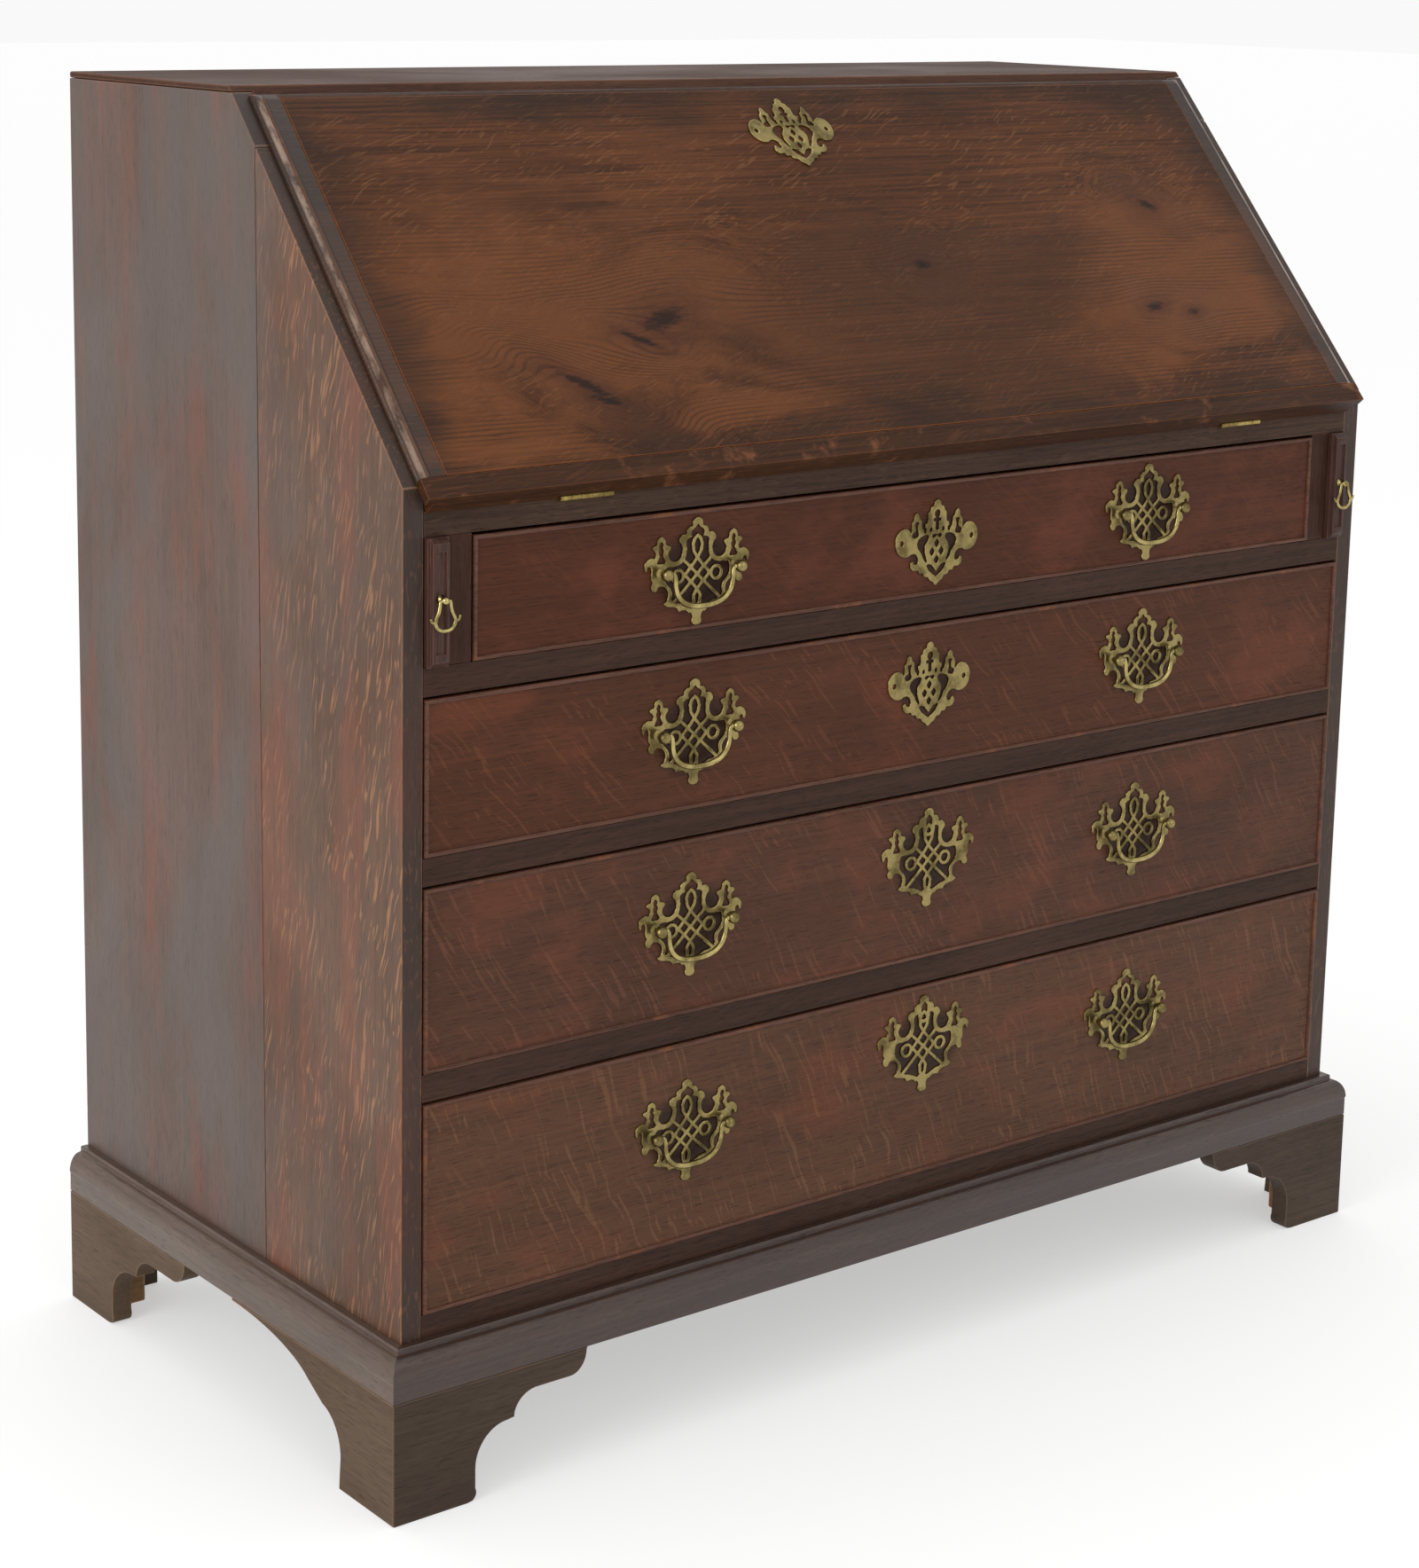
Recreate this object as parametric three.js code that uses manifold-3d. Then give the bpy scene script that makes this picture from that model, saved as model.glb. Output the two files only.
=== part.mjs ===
// Oak slant-front bureau: a carcass of two gables, a top, dustboards and a back, standing on a
// moulded base with four bracket feet. A hinged fall closes the writing compartment and rests,
// when open, on two pull-out lopers. Four graduated drawers carry hinged bail handles.
// Millimetres, +X to the right, -Y to the front, +Z up, origin on the floor under the middle.
import * as THREE from 'three';
import { mergeVertices } from 'three/addons/utils/BufferGeometryUtils.js';
import Module from 'manifold-3d';

const manifold = await Module();
manifold.setup();

// ---------------------------------------------------------------- driving dimensions
const fit = 0.3; // gap between pieces that touch
const over = 1; // cutters run this far past the wood they cut
const caseWidth = 1008;
const caseDepth = 490;
const caseHeight = 1040;
const sideThickness = 18;
const topThickness = 18;
const topLap = 5; // thin lap of the top board over each gable
const backThickness = 10;
const backRebate = 9; // how far the back is let into each gable
const railThickness = 21;
const housingDepth = 6; // dustboards sit this deep in the gables
const housingSetback = 30; // and start this far behind the front edge

const footHeight = 96;
const baseMouldingHeight = 37.5;
const mouldingProjection = 17.5;
const baseRailWidth = 45; // width of the base frame under the carcass
const bottomRailShow = 17.5; // bottom board seen above the base moulding

const fallSlope = THREE.MathUtils.degToRad(48.55);
const fallThickness = 19;
const lipProud = 8; // outer face of the fall stands this far off the gables' slanted edges
const lipInset = 12; // lip edge to the outer face of the gable
const fallSideGap = 0.6;
const fallTopShow = 11.6; // top board left bare above the fall
const topLipLap = 7;
const clampWidth = 22;
const bottomStripWidth = 18;
const tongueLength = 8;
const tongueThickness = 6;
const ovoloWidth = 7.5;
const ovoloHeight = 4.5;
const ovoloStep = 1.5;

const hingeDrop = 1; // hinge axis below the writing surface
const hingeClearance = 0.5;
const hingeLength = 48;
const hingeInset = 157; // hinge middle to the outer face of the gable
const knuckleCount = 5;
const knuckleRadius = 2.4;
const knuckleClearance = 0.5;
const pinRadius = 1;
const leafThickness = 1.6;
const leafWidth = 22;

const loperWidth = 18;
const loperSideGap = 1;
const loperProud = 8;
const loperBevel = 4;
const loperFrame = 4.5; // raised frame round the sunk field of the loper's end
const loperFrameEnd = 10;
const loperSunk = 1.5;
const partitionThickness = 21;
const loperTailGap = 25; // loper's back end to the back panel

const drawers = [
  { name: 'drawer_1', opening: 94.6, handleRise: -2, plateShift: 1.8, plateRise: -4.3, lockPlate: true },
  { name: 'drawer_2', opening: 119, handleRise: 1.6, plateShift: -1.2, plateRise: 8, lockPlate: true },
  { name: 'drawer_3', opening: 142, handleRise: 1, plateShift: 3.6, plateRise: 14.4, lockPlate: false },
  { name: 'drawer_4', opening: 165, handleRise: 9, plateShift: 5.2, plateRise: 30, lockPlate: false },
];
const frontThickness = 20;
const frontSideGap = 1.3;
const frontTopGap = 2.2;
const frontBottomGap = 0.6;
const drawerSide = 10;
const drawerBottom = 7;
const drawerSideGap = 2.5;
const drawerTopGap = 9;
const drawerBackGap = 22; // back of the drawer to the back panel
const drawerBackDrop = 14; // drawer back stands lower than its sides

const plateThickness = 1.4;
const fallPlateDrop = 53; // middle of the fall's escutcheon below its top edge
const handleSpacing = 482; // between the two handles of a drawer
const postSpacing = 70.4;
const postRise = 1.6; // posts above the middle of their plate
const postReach = 10; // middle of the post's ball in front of the drawer
const postRadius = 2.4;
const ballRadius = 5;
const bailRadius = 2.2;
const bailDrop = 27;
const bailHalfWidth = 27.6;
const bailPinRadius = 1.2;
const bailBore = 1.7;

const pullRise = 3; // loper pull above the middle of the loper's face
const pullReach = 5;
const pullPostRadius = 1.7;
const pullBallRadius = 3.2;
const pullWireRadius = 1.2;
const pullDrop = 24;
const pullHalfWidth = 11;
const pullPinRadius = 0.7;
const pullBore = 1.15;

const unitBoard = 7;
const unitFallClearance = 24; // pigeonholes to the inside of the closed fall
const pigeonholes = 7;
const letterDrawerHeight = 56;
const letterDrawerGap = 0.8;
const letterDrawerWall = 6;
const letterDrawerFront = 8;
const letterDrawerStop = 4; // left free behind a letter drawer
const knobRadius = 7;
const knobLength = 13;
const knobHead = 6;
const knobNeckRadius = 2.8;

// ---------------------------------------------------------------- heights and planes worked out
const halfCase = caseWidth / 2;
const innerHalf = halfCase - sideThickness;
const frontY = -(caseDepth - mouldingProjection) / 2; // front plane of the carcass in the world
const baseTop = footHeight + baseMouldingHeight;
const carcassBottom = baseTop + bottomRailShow - railThickness;
const backFace = caseDepth - backThickness; // inner face of the back panel

let level = carcassBottom + railThickness;
for (const drawer of [...drawers].reverse()) {
  drawer.bottom = level;
  drawer.top = level + drawer.opening;
  level = drawer.top + railThickness;
}
const loperFloor = drawers[0].bottom;
const writingUnderside = drawers[0].top;
const writingTop = writingUnderside + fallThickness; // open fall lies level with the board

const sine = Math.sin(fallSlope);
const cosine = Math.cos(fallSlope);
const hingeOut = (hingeDrop * (1 + cosine) + hingeClearance) / sine;
const hingeZ = writingTop - hingeDrop;
const hingeOff = lipProud - fallThickness + hingeDrop; // axis off the slanted edges' plane
const hingeAlong = (hingeOff * sine - hingeOut) / cosine; // axis along the slope, from its foot
const slantBottom = hingeZ - hingeAlong * sine - hingeOff * cosine;
const slantTopDepth = (caseHeight - slantBottom) / Math.tan(fallSlope);
const slantLength = (caseHeight - slantBottom) / sine;
const innerFaceDepth = (fallThickness - lipProud) / sine; // fall's inside behind the slope, level

// ---------------------------------------------------------------- solids
function toSolid(geometry) {
  const bare = geometry.clone();
  bare.deleteAttribute('normal');
  bare.deleteAttribute('uv');
  const merged = mergeVertices(bare, 1e-4);
  return new manifold.Manifold(new manifold.Mesh({
    numProp: 3,
    vertProperties: new Float32Array(merged.attributes.position.array),
    triVerts: new Uint32Array(merged.index.array),
  }));
}

function toGeometry(solid) {
  const mesh = solid.getMesh();
  const geometry = new THREE.BufferGeometry();
  geometry.setAttribute('position', new THREE.BufferAttribute(new Float32Array(mesh.vertProperties), 3));
  geometry.setIndex(new THREE.BufferAttribute(new Uint32Array(mesh.triVerts), 1));
  return geometry;
}

function join(...geometries) {
  return toGeometry(geometries.map(toSolid).reduce((whole, next) => whole.add(next)));
}

function cut(geometry, ...tools) {
  return toGeometry(tools.map(toSolid).reduce((whole, tool) => whole.subtract(tool), toSolid(geometry)));
}

function common(first, second) {
  return toGeometry(toSolid(first).intersect(toSolid(second)));
}

function box(x0, x1, y0, y1, z0, z1) {
  const geometry = new THREE.BoxGeometry(x1 - x0, y1 - y0, z1 - z0);
  return geometry.translate((x0 + x1) / 2, (y0 + y1) / 2, (z0 + z1) / 2);
}

function extrude(points, depth) {
  const shape = new THREE.Shape(points.map(([u, v]) => new THREE.Vector2(u, v)));
  return new THREE.ExtrudeGeometry(shape, { depth, bevelEnabled: false });
}

// outline in (y, z), run along X
function alongX(points, x0, x1) {
  const turn = new THREE.Matrix4().makeBasis(
    new THREE.Vector3(0, 1, 0), new THREE.Vector3(0, 0, 1), new THREE.Vector3(1, 0, 0));
  return extrude(points, x1 - x0).applyMatrix4(turn).translate(x0, 0, 0);
}

// outline in (x, z), run along Y
function alongY(points, y0, y1) {
  return extrude(points, y1 - y0).rotateX(Math.PI / 2).translate(0, y1, 0);
}

function rod(radius, length, sides = 10) {
  return new THREE.CylinderGeometry(radius, radius, length, sides);
}

function rodX(radius, x0, x1, y, z, sides = 12) {
  return rod(radius, x1 - x0, sides).rotateZ(Math.PI / 2).translate((x0 + x1) / 2, y, z);
}

function rodY(radius, y0, y1, x, z, sides = 10) {
  return rod(radius, y1 - y0, sides).translate(x, (y0 + y1) / 2, z);
}

function ball(radius, x, y, z) {
  return new THREE.SphereGeometry(radius, 8, 6).rotateX(Math.PI / 2).translate(x, y, z);
}

function mirrorX(geometry) {
  const solid = toSolid(geometry).mirror([1, 0, 0]);
  return toGeometry(solid);
}

// ---------------------------------------------------------------- materials and placing
const oakDark = new THREE.MeshStandardMaterial({ color: 0x4a342b, roughness: 0.45, metalness: 0 });
const oakFall = new THREE.MeshStandardMaterial({ color: 0x6b4630, roughness: 0.4, metalness: 0 });
const oakInner = new THREE.MeshStandardMaterial({ color: 0x8a6a48, roughness: 0.7, metalness: 0 });
const brass = new THREE.MeshStandardMaterial({ color: 0x8c7a45, roughness: 0.35, metalness: 1 });

const bureau = new THREE.Group();
const desk = new THREE.Group();
desk.position.set(0, frontY, 0);
bureau.add(desk);
const slope = new THREE.Group(); // local Y runs up the slope, local Z stands off it
slope.position.set(0, 0, slantBottom);
slope.rotation.x = fallSlope;
desk.add(slope);

function place(name, geometry, material, parent = desk) {
  const mesh = new THREE.Mesh(geometry, material);
  mesh.name = name;
  parent.add(mesh);
  return mesh;
}

// ---------------------------------------------------------------- carcass
const boardLevels = [
  carcassBottom,
  ...drawers.slice(1).map((drawer) => drawer.top),
  writingUnderside,
];

function boardThicknessAt(z) {
  return z === writingUnderside ? fallThickness : railThickness;
}

function gable() {
  const outline = [
    [0, carcassBottom], [caseDepth, carcassBottom], [caseDepth, caseHeight - topLap - fit],
    [slantTopDepth - (topLap + fit) / Math.tan(fallSlope), caseHeight - topLap - fit],
    [0, slantBottom],
  ];
  const board = alongX(outline, innerHalf, halfCase);
  const rebate = box(innerHalf - over, innerHalf + backRebate, backFace - fit, caseDepth + over,
    carcassBottom - over, caseHeight);
  const housings = boardLevels.map((z) => box(innerHalf - over, innerHalf + housingDepth, housingSetback,
    backFace, z - fit, z + boardThicknessAt(z) + fit));
  return cut(board, rebate, ...housings);
}

place('right_side', gable(), oakDark);
place('left_side', mirrorX(gable()), oakDark);

// Full-width board between the gables, with its ends let into the housings.
function housedBoard(z, thickness) {
  const front = box(-innerHalf + fit, innerHalf - fit, 0, backFace - fit, z, z + thickness);
  const tongue = innerHalf + housingDepth - fit;
  const housed = box(-tongue, tongue, housingSetback + fit, backFace - 2 * fit, z, z + thickness);
  return join(front, housed);
}

// A dustboard is a front rail and two runners with a thinner board between them.
const dustRail = 70;
const dustRunner = 24;
const dustPanel = 8;

function dustboard(z) {
  const reach = innerHalf - dustRunner;
  const upper = box(-reach, reach, dustRail, backFace + over, z + (railThickness + dustPanel) / 2,
    z + railThickness + over);
  const lower = box(-reach, reach, dustRail, backFace + over, z - over,
    z + (railThickness - dustPanel) / 2);
  return cut(housedBoard(z, railThickness), upper, lower);
}

place('bottom_board', housedBoard(carcassBottom, railThickness), oakDark);
place('dustboard_lower', dustboard(drawers[3].top), oakDark);
place('dustboard_middle', dustboard(drawers[2].top), oakDark);
place('dustboard_upper', dustboard(drawers[1].top), oakDark);

function topBoard() {
  const underside = caseHeight - topThickness;
  const depthAt = (z) => (z - slantBottom) / Math.tan(fallSlope);
  const lapZ = caseHeight - topLap;
  const middle = alongX([
    [depthAt(underside), underside], [caseDepth, underside], [caseDepth, caseHeight],
    [slantTopDepth, caseHeight],
  ], -innerHalf + fit, innerHalf - fit);
  const lap = alongX([
    [depthAt(lapZ), lapZ], [caseDepth, lapZ], [caseDepth, caseHeight], [slantTopDepth, caseHeight],
  ], -halfCase, halfCase);
  const seat = box(-innerHalf, innerHalf, 0, slantLength - fallTopShow - topLipLap + fit,
    lipProud - fallThickness - 2 * fit, over);
  seat.rotateX(fallSlope).translate(0, 0, slantBottom);
  return cut(join(middle, lap), seat);
}

place('top_board', topBoard(), oakDark);

const backTop = caseHeight - topThickness - fit;

function backPanel() {
  const reach = innerHalf + backRebate - fit;
  return box(-reach, reach, backFace, caseDepth, carcassBottom, backTop);
}

place('back_panel', backPanel(), oakInner);

// ---------------------------------------------------------------- writing board and loper pockets
const pocketWidth = loperWidth + 2 * loperSideGap;
const partitionOuter = innerHalf - pocketWidth;
const partitionInner = partitionOuter - partitionThickness;
const hingeX = halfCase - hingeInset;

function leafRecess(side) {
  return box(side * hingeX - hingeLength / 2 - fit, side * hingeX + hingeLength / 2 + fit,
    -over, leafWidth + fit, writingTop - leafThickness - fit, writingTop + over);
}

place('writing_board',
  cut(housedBoard(writingUnderside, fallThickness), leafRecess(-1), leafRecess(1)), oakDark);

function loperPartition() {
  return box(partitionInner, partitionOuter, 0, backFace - 2 * fit,
    loperFloor + fit, writingUnderside - fit);
}

place('right_loper_partition', loperPartition(), oakDark);
place('left_loper_partition', mirrorX(loperPartition()), oakDark);

// ---------------------------------------------------------------- base moulding and feet
// Section in (projection, height): flat band, ovolo, quirk and a small fillet at the top.
function baseSection() {
  const band = footHeight + fit;
  const ovoloFoot = band + 16.5;
  const ovoloTop = baseTop - 5;
  const points = [[-baseRailWidth, band], [mouldingProjection - 0.5, band],
    [mouldingProjection - 0.5, ovoloFoot - 0.6], [mouldingProjection, ovoloFoot]];
  const steps = 8;
  const ovoloReach = mouldingProjection - 8;
  for (let i = 1; i <= steps; i += 1) {
    const turn = (i / steps) * (Math.PI / 2);
    points.push([mouldingProjection - ovoloReach * (1 - Math.cos(turn)),
      ovoloFoot + (ovoloTop - ovoloFoot) * Math.sin(turn)]);
  }
  points.push([6.5, ovoloTop + 0.8], [6.5, baseTop - 0.8], [5.7, baseTop], [fit, baseTop],
    [fit, carcassBottom - fit], [-baseRailWidth, carcassBottom - fit]);
  return points;
}

// The front run meets the two side runs in mitres; the three are glued into one frame.
function baseMoulding() {
  const section = baseSection();
  const reach = halfCase + mouldingProjection + over;
  const start = -mouldingProjection - over;
  const end = caseDepth + over;
  const front = alongX(section.map(([out, z]) => [-out, z]).reverse(), -reach, reach);
  const side = alongY(section.map(([out, z]) => [halfCase + out, z]).reverse(), start, caseDepth);
  const frontKeep = extrude([[-reach, start], [reach, start], [0, halfCase]], caseHeight);
  const sideKeep = extrude([[reach, start], [reach, end], [halfCase - end, end]], caseHeight);
  const mitredSide = common(side, sideKeep);
  return join(common(front, frontKeep), mitredSide, mirrorX(mitredSide));
}

place('base_moulding', baseMoulding(), oakDark);

// Bracket outlines in (distance from the outer corner, height), toe first, ending at the top.
function arc(cx, cz, radiusX, radiusZ, from, to, steps) {
  const points = [];
  for (let i = 0; i <= steps; i += 1) {
    const turn = THREE.MathUtils.degToRad(from + ((to - from) * i) / steps);
    points.push([cx + radiusX * Math.cos(turn), cz + radiusZ * Math.sin(turn)]);
  }
  return points;
}

const bracketThickness = 18;
const footBlock = 46;
const toe = 66;
const shank = 73;
const cuspedLength = 176;
const archedLength = 235;
const rearLength = 197;

function cuspedBracket(length) {
  const stretch = length - shank;
  const cusp = shank + stretch * 0.32;
  return [
    [0, 0], [toe, 0],
    ...arc(toe + 1, 7, shank - toe, 7, -60, 30, 3),
    ...arc(cusp - 4, 26, cusp - 4 - shank, 31, 180, 90, 5),
    [cusp, footHeight * 0.6],
    ...arc(cusp + stretch * 0.22, footHeight * 0.6, stretch * 0.2, footHeight * 0.195, 180, 90, 4),
    ...arc(length - stretch * 0.16, footHeight * 0.985, stretch * 0.15, footHeight * 0.19, -90, 0, 4),
    [length, footHeight], [0, footHeight],
  ];
}

function archedBracket(length) {
  const rise = footHeight - 2;
  return [
    [0, 0], [toe + 10, 0], ...arc(shank + 32, 26, 31, 34, 190, 100, 5),
    ...arc(length, footHeight * 0.62, length - shank - 40, rise - footHeight * 0.62, 158, 90, 5),
    [length, footHeight], [0, footHeight],
  ];
}

function foot(frontOutline, sideOutline, sideFromRear) {
  const outer = halfCase + mouldingProjection - 0.5;
  const endY = sideFromRear ? caseDepth : -mouldingProjection + 0.5;
  const inward = sideFromRear ? -1 : 1;
  const flip = (points) => (inward > 0 ? points : points.slice().reverse());
  const side = alongX(flip(sideOutline.map(([u, z]) => [endY + inward * u, z])),
    outer - bracketThickness, outer);
  const faceY = [endY, endY + inward * bracketThickness].sort((a, b) => a - b);
  const face = alongY(frontOutline.map(([u, z]) => [outer - u, z]).reverse(), faceY[0], faceY[1]);
  const blockY = [endY + inward * 2, endY + inward * footBlock].sort((a, b) => a - b);
  const block = box(outer - footBlock, outer - 2, blockY[0], blockY[1], 0, footHeight);
  return join(side, face, block);
}

const frontFoot = foot(cuspedBracket(cuspedLength), archedBracket(archedLength), false);
const rearFace = [[0, 0], [shank, 0], [shank, footHeight * 0.4], [shank + 60, footHeight], [0, footHeight]];
const rearFoot = foot(rearFace, cuspedBracket(rearLength), true);
place('front_right_foot', frontFoot, oakDark);
place('front_left_foot', mirrorX(frontFoot), oakDark);
place('rear_right_foot', rearFoot, oakDark);
place('rear_left_foot', mirrorX(rearFoot), oakDark);

// ---------------------------------------------------------------- fall
const fallTop = slantLength - fallTopShow; // along the slope
const fallFoot = hingeAlong + fit;
const inside = lipProud - fallThickness;
const lipEdge = halfCase - lipInset;
const bodyEdge = innerHalf - fallSideGap;
const stripTop = fallFoot + bottomStripWidth;

// Edge section in (distance along, height off the slope) with a stepped ovolo on its lip.
function lippedEdge(edge, body, moulded) {
  const points = [[0, inside], [body, inside], [body, fit], [edge, fit]];
  if (!moulded) return [...points, [edge, lipProud], [0, lipProud]];
  const low = lipProud - ovoloStep - ovoloHeight;
  const steps = 5;
  for (let i = 0; i <= steps; i += 1) {
    const turn = (i / steps) * (Math.PI / 2);
    points.push([edge - ovoloWidth * (1 - Math.cos(turn)), low + ovoloHeight * Math.sin(turn)]);
  }
  return [...points, [edge - ovoloWidth, lipProud], [0, lipProud]];
}

// A slab with lips on both sides, from y0 to y1 up the slope.
function lippedSlab(y0, y1, moulded) {
  const right = lippedEdge(lipEdge, bodyEdge, moulded).slice(1, -1);
  const left = right.map(([x, z]) => [-x, z]).reverse();
  return alongY([...right, ...left], y0, y1);
}

function fallBlank() {
  const sides = lippedSlab(stripTop + fit, fallTop, true);
  const topEdge = lippedEdge(fallTop, fallTop - topLipLap, true);
  topEdge[0] = [stripTop, inside];
  topEdge[topEdge.length - 1] = [stripTop, lipProud];
  return common(sides, alongX(topEdge, -halfCase, halfCase));
}

const clampInner = lipEdge - clampWidth;
const tongueMiddle = (inside + fit) / 2;

function tongue(grow) {
  return box(-clampInner - tongueLength - grow, clampInner + tongueLength + grow,
    stripTop - over, fallTop - topLipLap - clampWidth + grow,
    tongueMiddle - tongueThickness / 2 - grow, tongueMiddle + tongueThickness / 2 + grow);
}

// Room for the hinge leaves on the inside of the fall and for their knuckles at its foot.
function hingeHollows() {
  return [-1, 1].flatMap((side) => {
    const from = side * hingeX - hingeLength / 2 - fit;
    const to = side * hingeX + hingeLength / 2 + fit;
    return [
      box(from, to, fallFoot - over, fallFoot + leafWidth, inside - over, inside + leafThickness + fit),
      rodX(knuckleRadius + knuckleClearance, from, to, hingeAlong, hingeOff),
    ];
  });
}

function fallPanel() {
  const blank = fallBlank();
  const field = box(-clampInner + fit, clampInner - fit, stripTop, fallTop + over,
    inside - over, lipProud + over);
  return cut(join(common(blank, field), common(blank, tongue(0))), ...hingeHollows());
}

function fallClamp() {
  const end = box(clampInner, halfCase, stripTop, fallTop + over, inside - over, lipProud + over);
  return cut(common(fallBlank(), end), tongue(fit));
}

function fallStrip() {
  return cut(lippedSlab(fallFoot, stripTop, false), ...hingeHollows());
}

place('fall_panel', fallPanel(), oakFall, slope);
place('fall_right_clamp', fallClamp(), oakFall, slope);
place('fall_left_clamp', mirrorX(fallClamp()), oakFall, slope);
place('fall_bottom_strip', fallStrip(), oakFall, slope);

// ---------------------------------------------------------------- hinges
// Leaf in (x, distance from the axis, height above the axis); odd knuckles carry the pin.
const knuckleLength = hingeLength / knuckleCount;

function leafPlate() {
  return box(-hingeLength / 2, hingeLength / 2, knuckleRadius + 2 * fit, leafWidth - fit,
    hingeDrop - leafThickness, hingeDrop);
}

function knuckle(index) {
  const start = -hingeLength / 2 + index * knuckleLength + fit / 2;
  const end = start + knuckleLength - fit;
  const web = box(start, end, 0, knuckleRadius + 1, hingeDrop - leafThickness, hingeDrop);
  return join(rodX(knuckleRadius, start, end, 0, 0), web);
}

function hingeLeaf(carriesPin) {
  const mine = [];
  for (let i = 0; i < knuckleCount; i += 1) {
    if ((i % 2 === 0) === carriesPin) mine.push(knuckle(i));
  }
  const leaf = join(leafPlate(), ...mine);
  if (carriesPin) {
    return join(leaf, rodX(pinRadius, -hingeLength / 2 + 1, hingeLength / 2 - 1, 0, 0, 10));
  }
  return cut(leaf, rodX(pinRadius + fit, -hingeLength / 2 - 1, hingeLength / 2 + 1, 0, 0, 10));
}

for (const [side, word] of [[-1, 'left'], [1, 'right']]) {
  const boardLeaf = place(`${word}_hinge_board_leaf`, hingeLeaf(true), brass);
  boardLeaf.position.set(side * hingeX, -hingeOut, hingeZ);
  // the leaf let into the fall lies up the slope, its face on the inside of the fall
  const turned = toGeometry(toSolid(hingeLeaf(false)).mirror([0, 0, 1]));
  const fallLeaf = place(`${word}_hinge_fall_leaf`, turned, brass, slope);
  fallLeaf.position.set(side * hingeX, hingeAlong, hingeOff);
}

// ---------------------------------------------------------------- lopers
const loperCentre = innerHalf - pocketWidth / 2;
const loperBottom = loperFloor + fit;
const loperTop = writingUnderside - fit;
const pullZ = (loperBottom + loperTop) / 2 + pullRise;
const pullY = -loperProud - pullReach;

// The loper's moulded end: a bevelled frame raised round a flat field.
function loper() {
  const half = loperWidth / 2;
  const bar = box(-half, half, -loperProud + loperBevel, backFace - loperTailGap, loperBottom, loperTop);
  const capDepth = loperProud;
  const bevel = alongX([[-capDepth, loperBottom + loperBevel], [-capDepth + loperBevel, loperBottom],
    [0, loperBottom], [0, loperTop], [-capDepth + loperBevel, loperTop],
    [-capDepth, loperTop - loperBevel]].reverse(), -half + loperBevel / 2, half - loperBevel / 2);
  const field = box(-half + loperFrame, half - loperFrame, -capDepth - over, -capDepth + loperSunk,
    loperBottom + loperFrameEnd, loperTop - loperFrameEnd);
  const post = rodY(pullPostRadius, pullY, -capDepth + 2 * loperSunk, 0, pullZ, 8);
  const bore = rodX(pullBore, -pullBallRadius - over, pullBallRadius + over, pullY, pullZ, 8);
  const head = cut(ball(pullBallRadius, 0, pullY, pullZ), bore);
  return join(cut(join(bar, bevel), field), cut(post, bore), head);
}

// A wire bent to a mirrored outline, hung on two pins that run along X to x = pinEnd.
function hangingWire(half, radius, pinEnd, pinWidth, steps, sides) {
  const [start] = half[0];
  const ends = [[start, radius * 0.8], ...half.slice(1)];
  const whole = [...ends, ...ends.slice(0, -1).reverse().map(([x, z]) => [-x, z])];
  const path = new THREE.CatmullRomCurve3(whole.map(([x, z]) => new THREE.Vector3(x, 0, z)));
  const pins = [-1, 1].map((side) => {
    const spanX = [side * start, side * pinEnd].sort((a, b) => a - b);
    return rodX(pinWidth, spanX[0], spanX[1], 0, 0, 8);
  });
  return join(sweep(path, radius, steps, sides), ...pins);
}

// Heart-shaped drop: two wires hang from the post's ball, spread to the wings and meet below.
function pullDropShape() {
  const start = pullBallRadius + fit + pullWireRadius;
  const half = [
    [start, 0], [start + 1.6, -5], [pullHalfWidth * 0.75, -9], [pullHalfWidth, -pullDrop * 0.56],
    [pullHalfWidth * 0.72, -pullDrop * 0.78], [0, -pullDrop + 2],
  ];
  return hangingWire(half, pullWireRadius, pullBallRadius * 0.45, pullPinRadius, 16, 6);
}

function sweep(path, radius, steps, sides) {
  const section = new THREE.Shape();
  for (let i = 0; i < sides; i += 1) {
    const turn = (i / sides) * 2 * Math.PI;
    const point = [radius * Math.cos(turn), radius * Math.sin(turn)];
    if (i === 0) section.moveTo(...point);
    else section.lineTo(...point);
  }
  section.closePath();
  return new THREE.ExtrudeGeometry(section, { steps, extrudePath: path, bevelEnabled: false });
}

for (const [side, word] of [[-1, 'left'], [1, 'right']]) {
  place(`${word}_loper`, loper(), oakDark).position.x = side * loperCentre;
  place(`${word}_loper_pull`, pullDropShape(), brass).position.set(side * loperCentre, pullY, pullZ);
}

// ---------------------------------------------------------------- drawers
function frontBoard(drawer, halfOpening) {
  const half = halfOpening - frontSideGap;
  return box(-half, half, 0, frontThickness, drawer.bottom + frontBottomGap, drawer.top - frontTopGap);
}

function drawerBox(drawer, halfOpening) {
  const half = halfOpening - drawerSideGap;
  const floor = drawer.bottom + frontBottomGap;
  const top = drawer.top - drawerTopGap;
  const front = frontThickness + fit;
  const back = backFace - drawerBackGap;
  const inner = half - drawerSide;
  const shell = box(-half, half, front, back, floor, top);
  const hollow = box(-inner, inner, front - over, back - drawerSide,
    floor + 2 * drawerBottom, top + over);
  const underside = box(-inner, inner, front - over, back + over, floor - over, floor + drawerBottom);
  const backDrop = box(-inner, inner, back - drawerSide - over, back + over,
    top - drawerBackDrop, top + over);
  return cut(shell, hollow, underside, backDrop);
}

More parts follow.
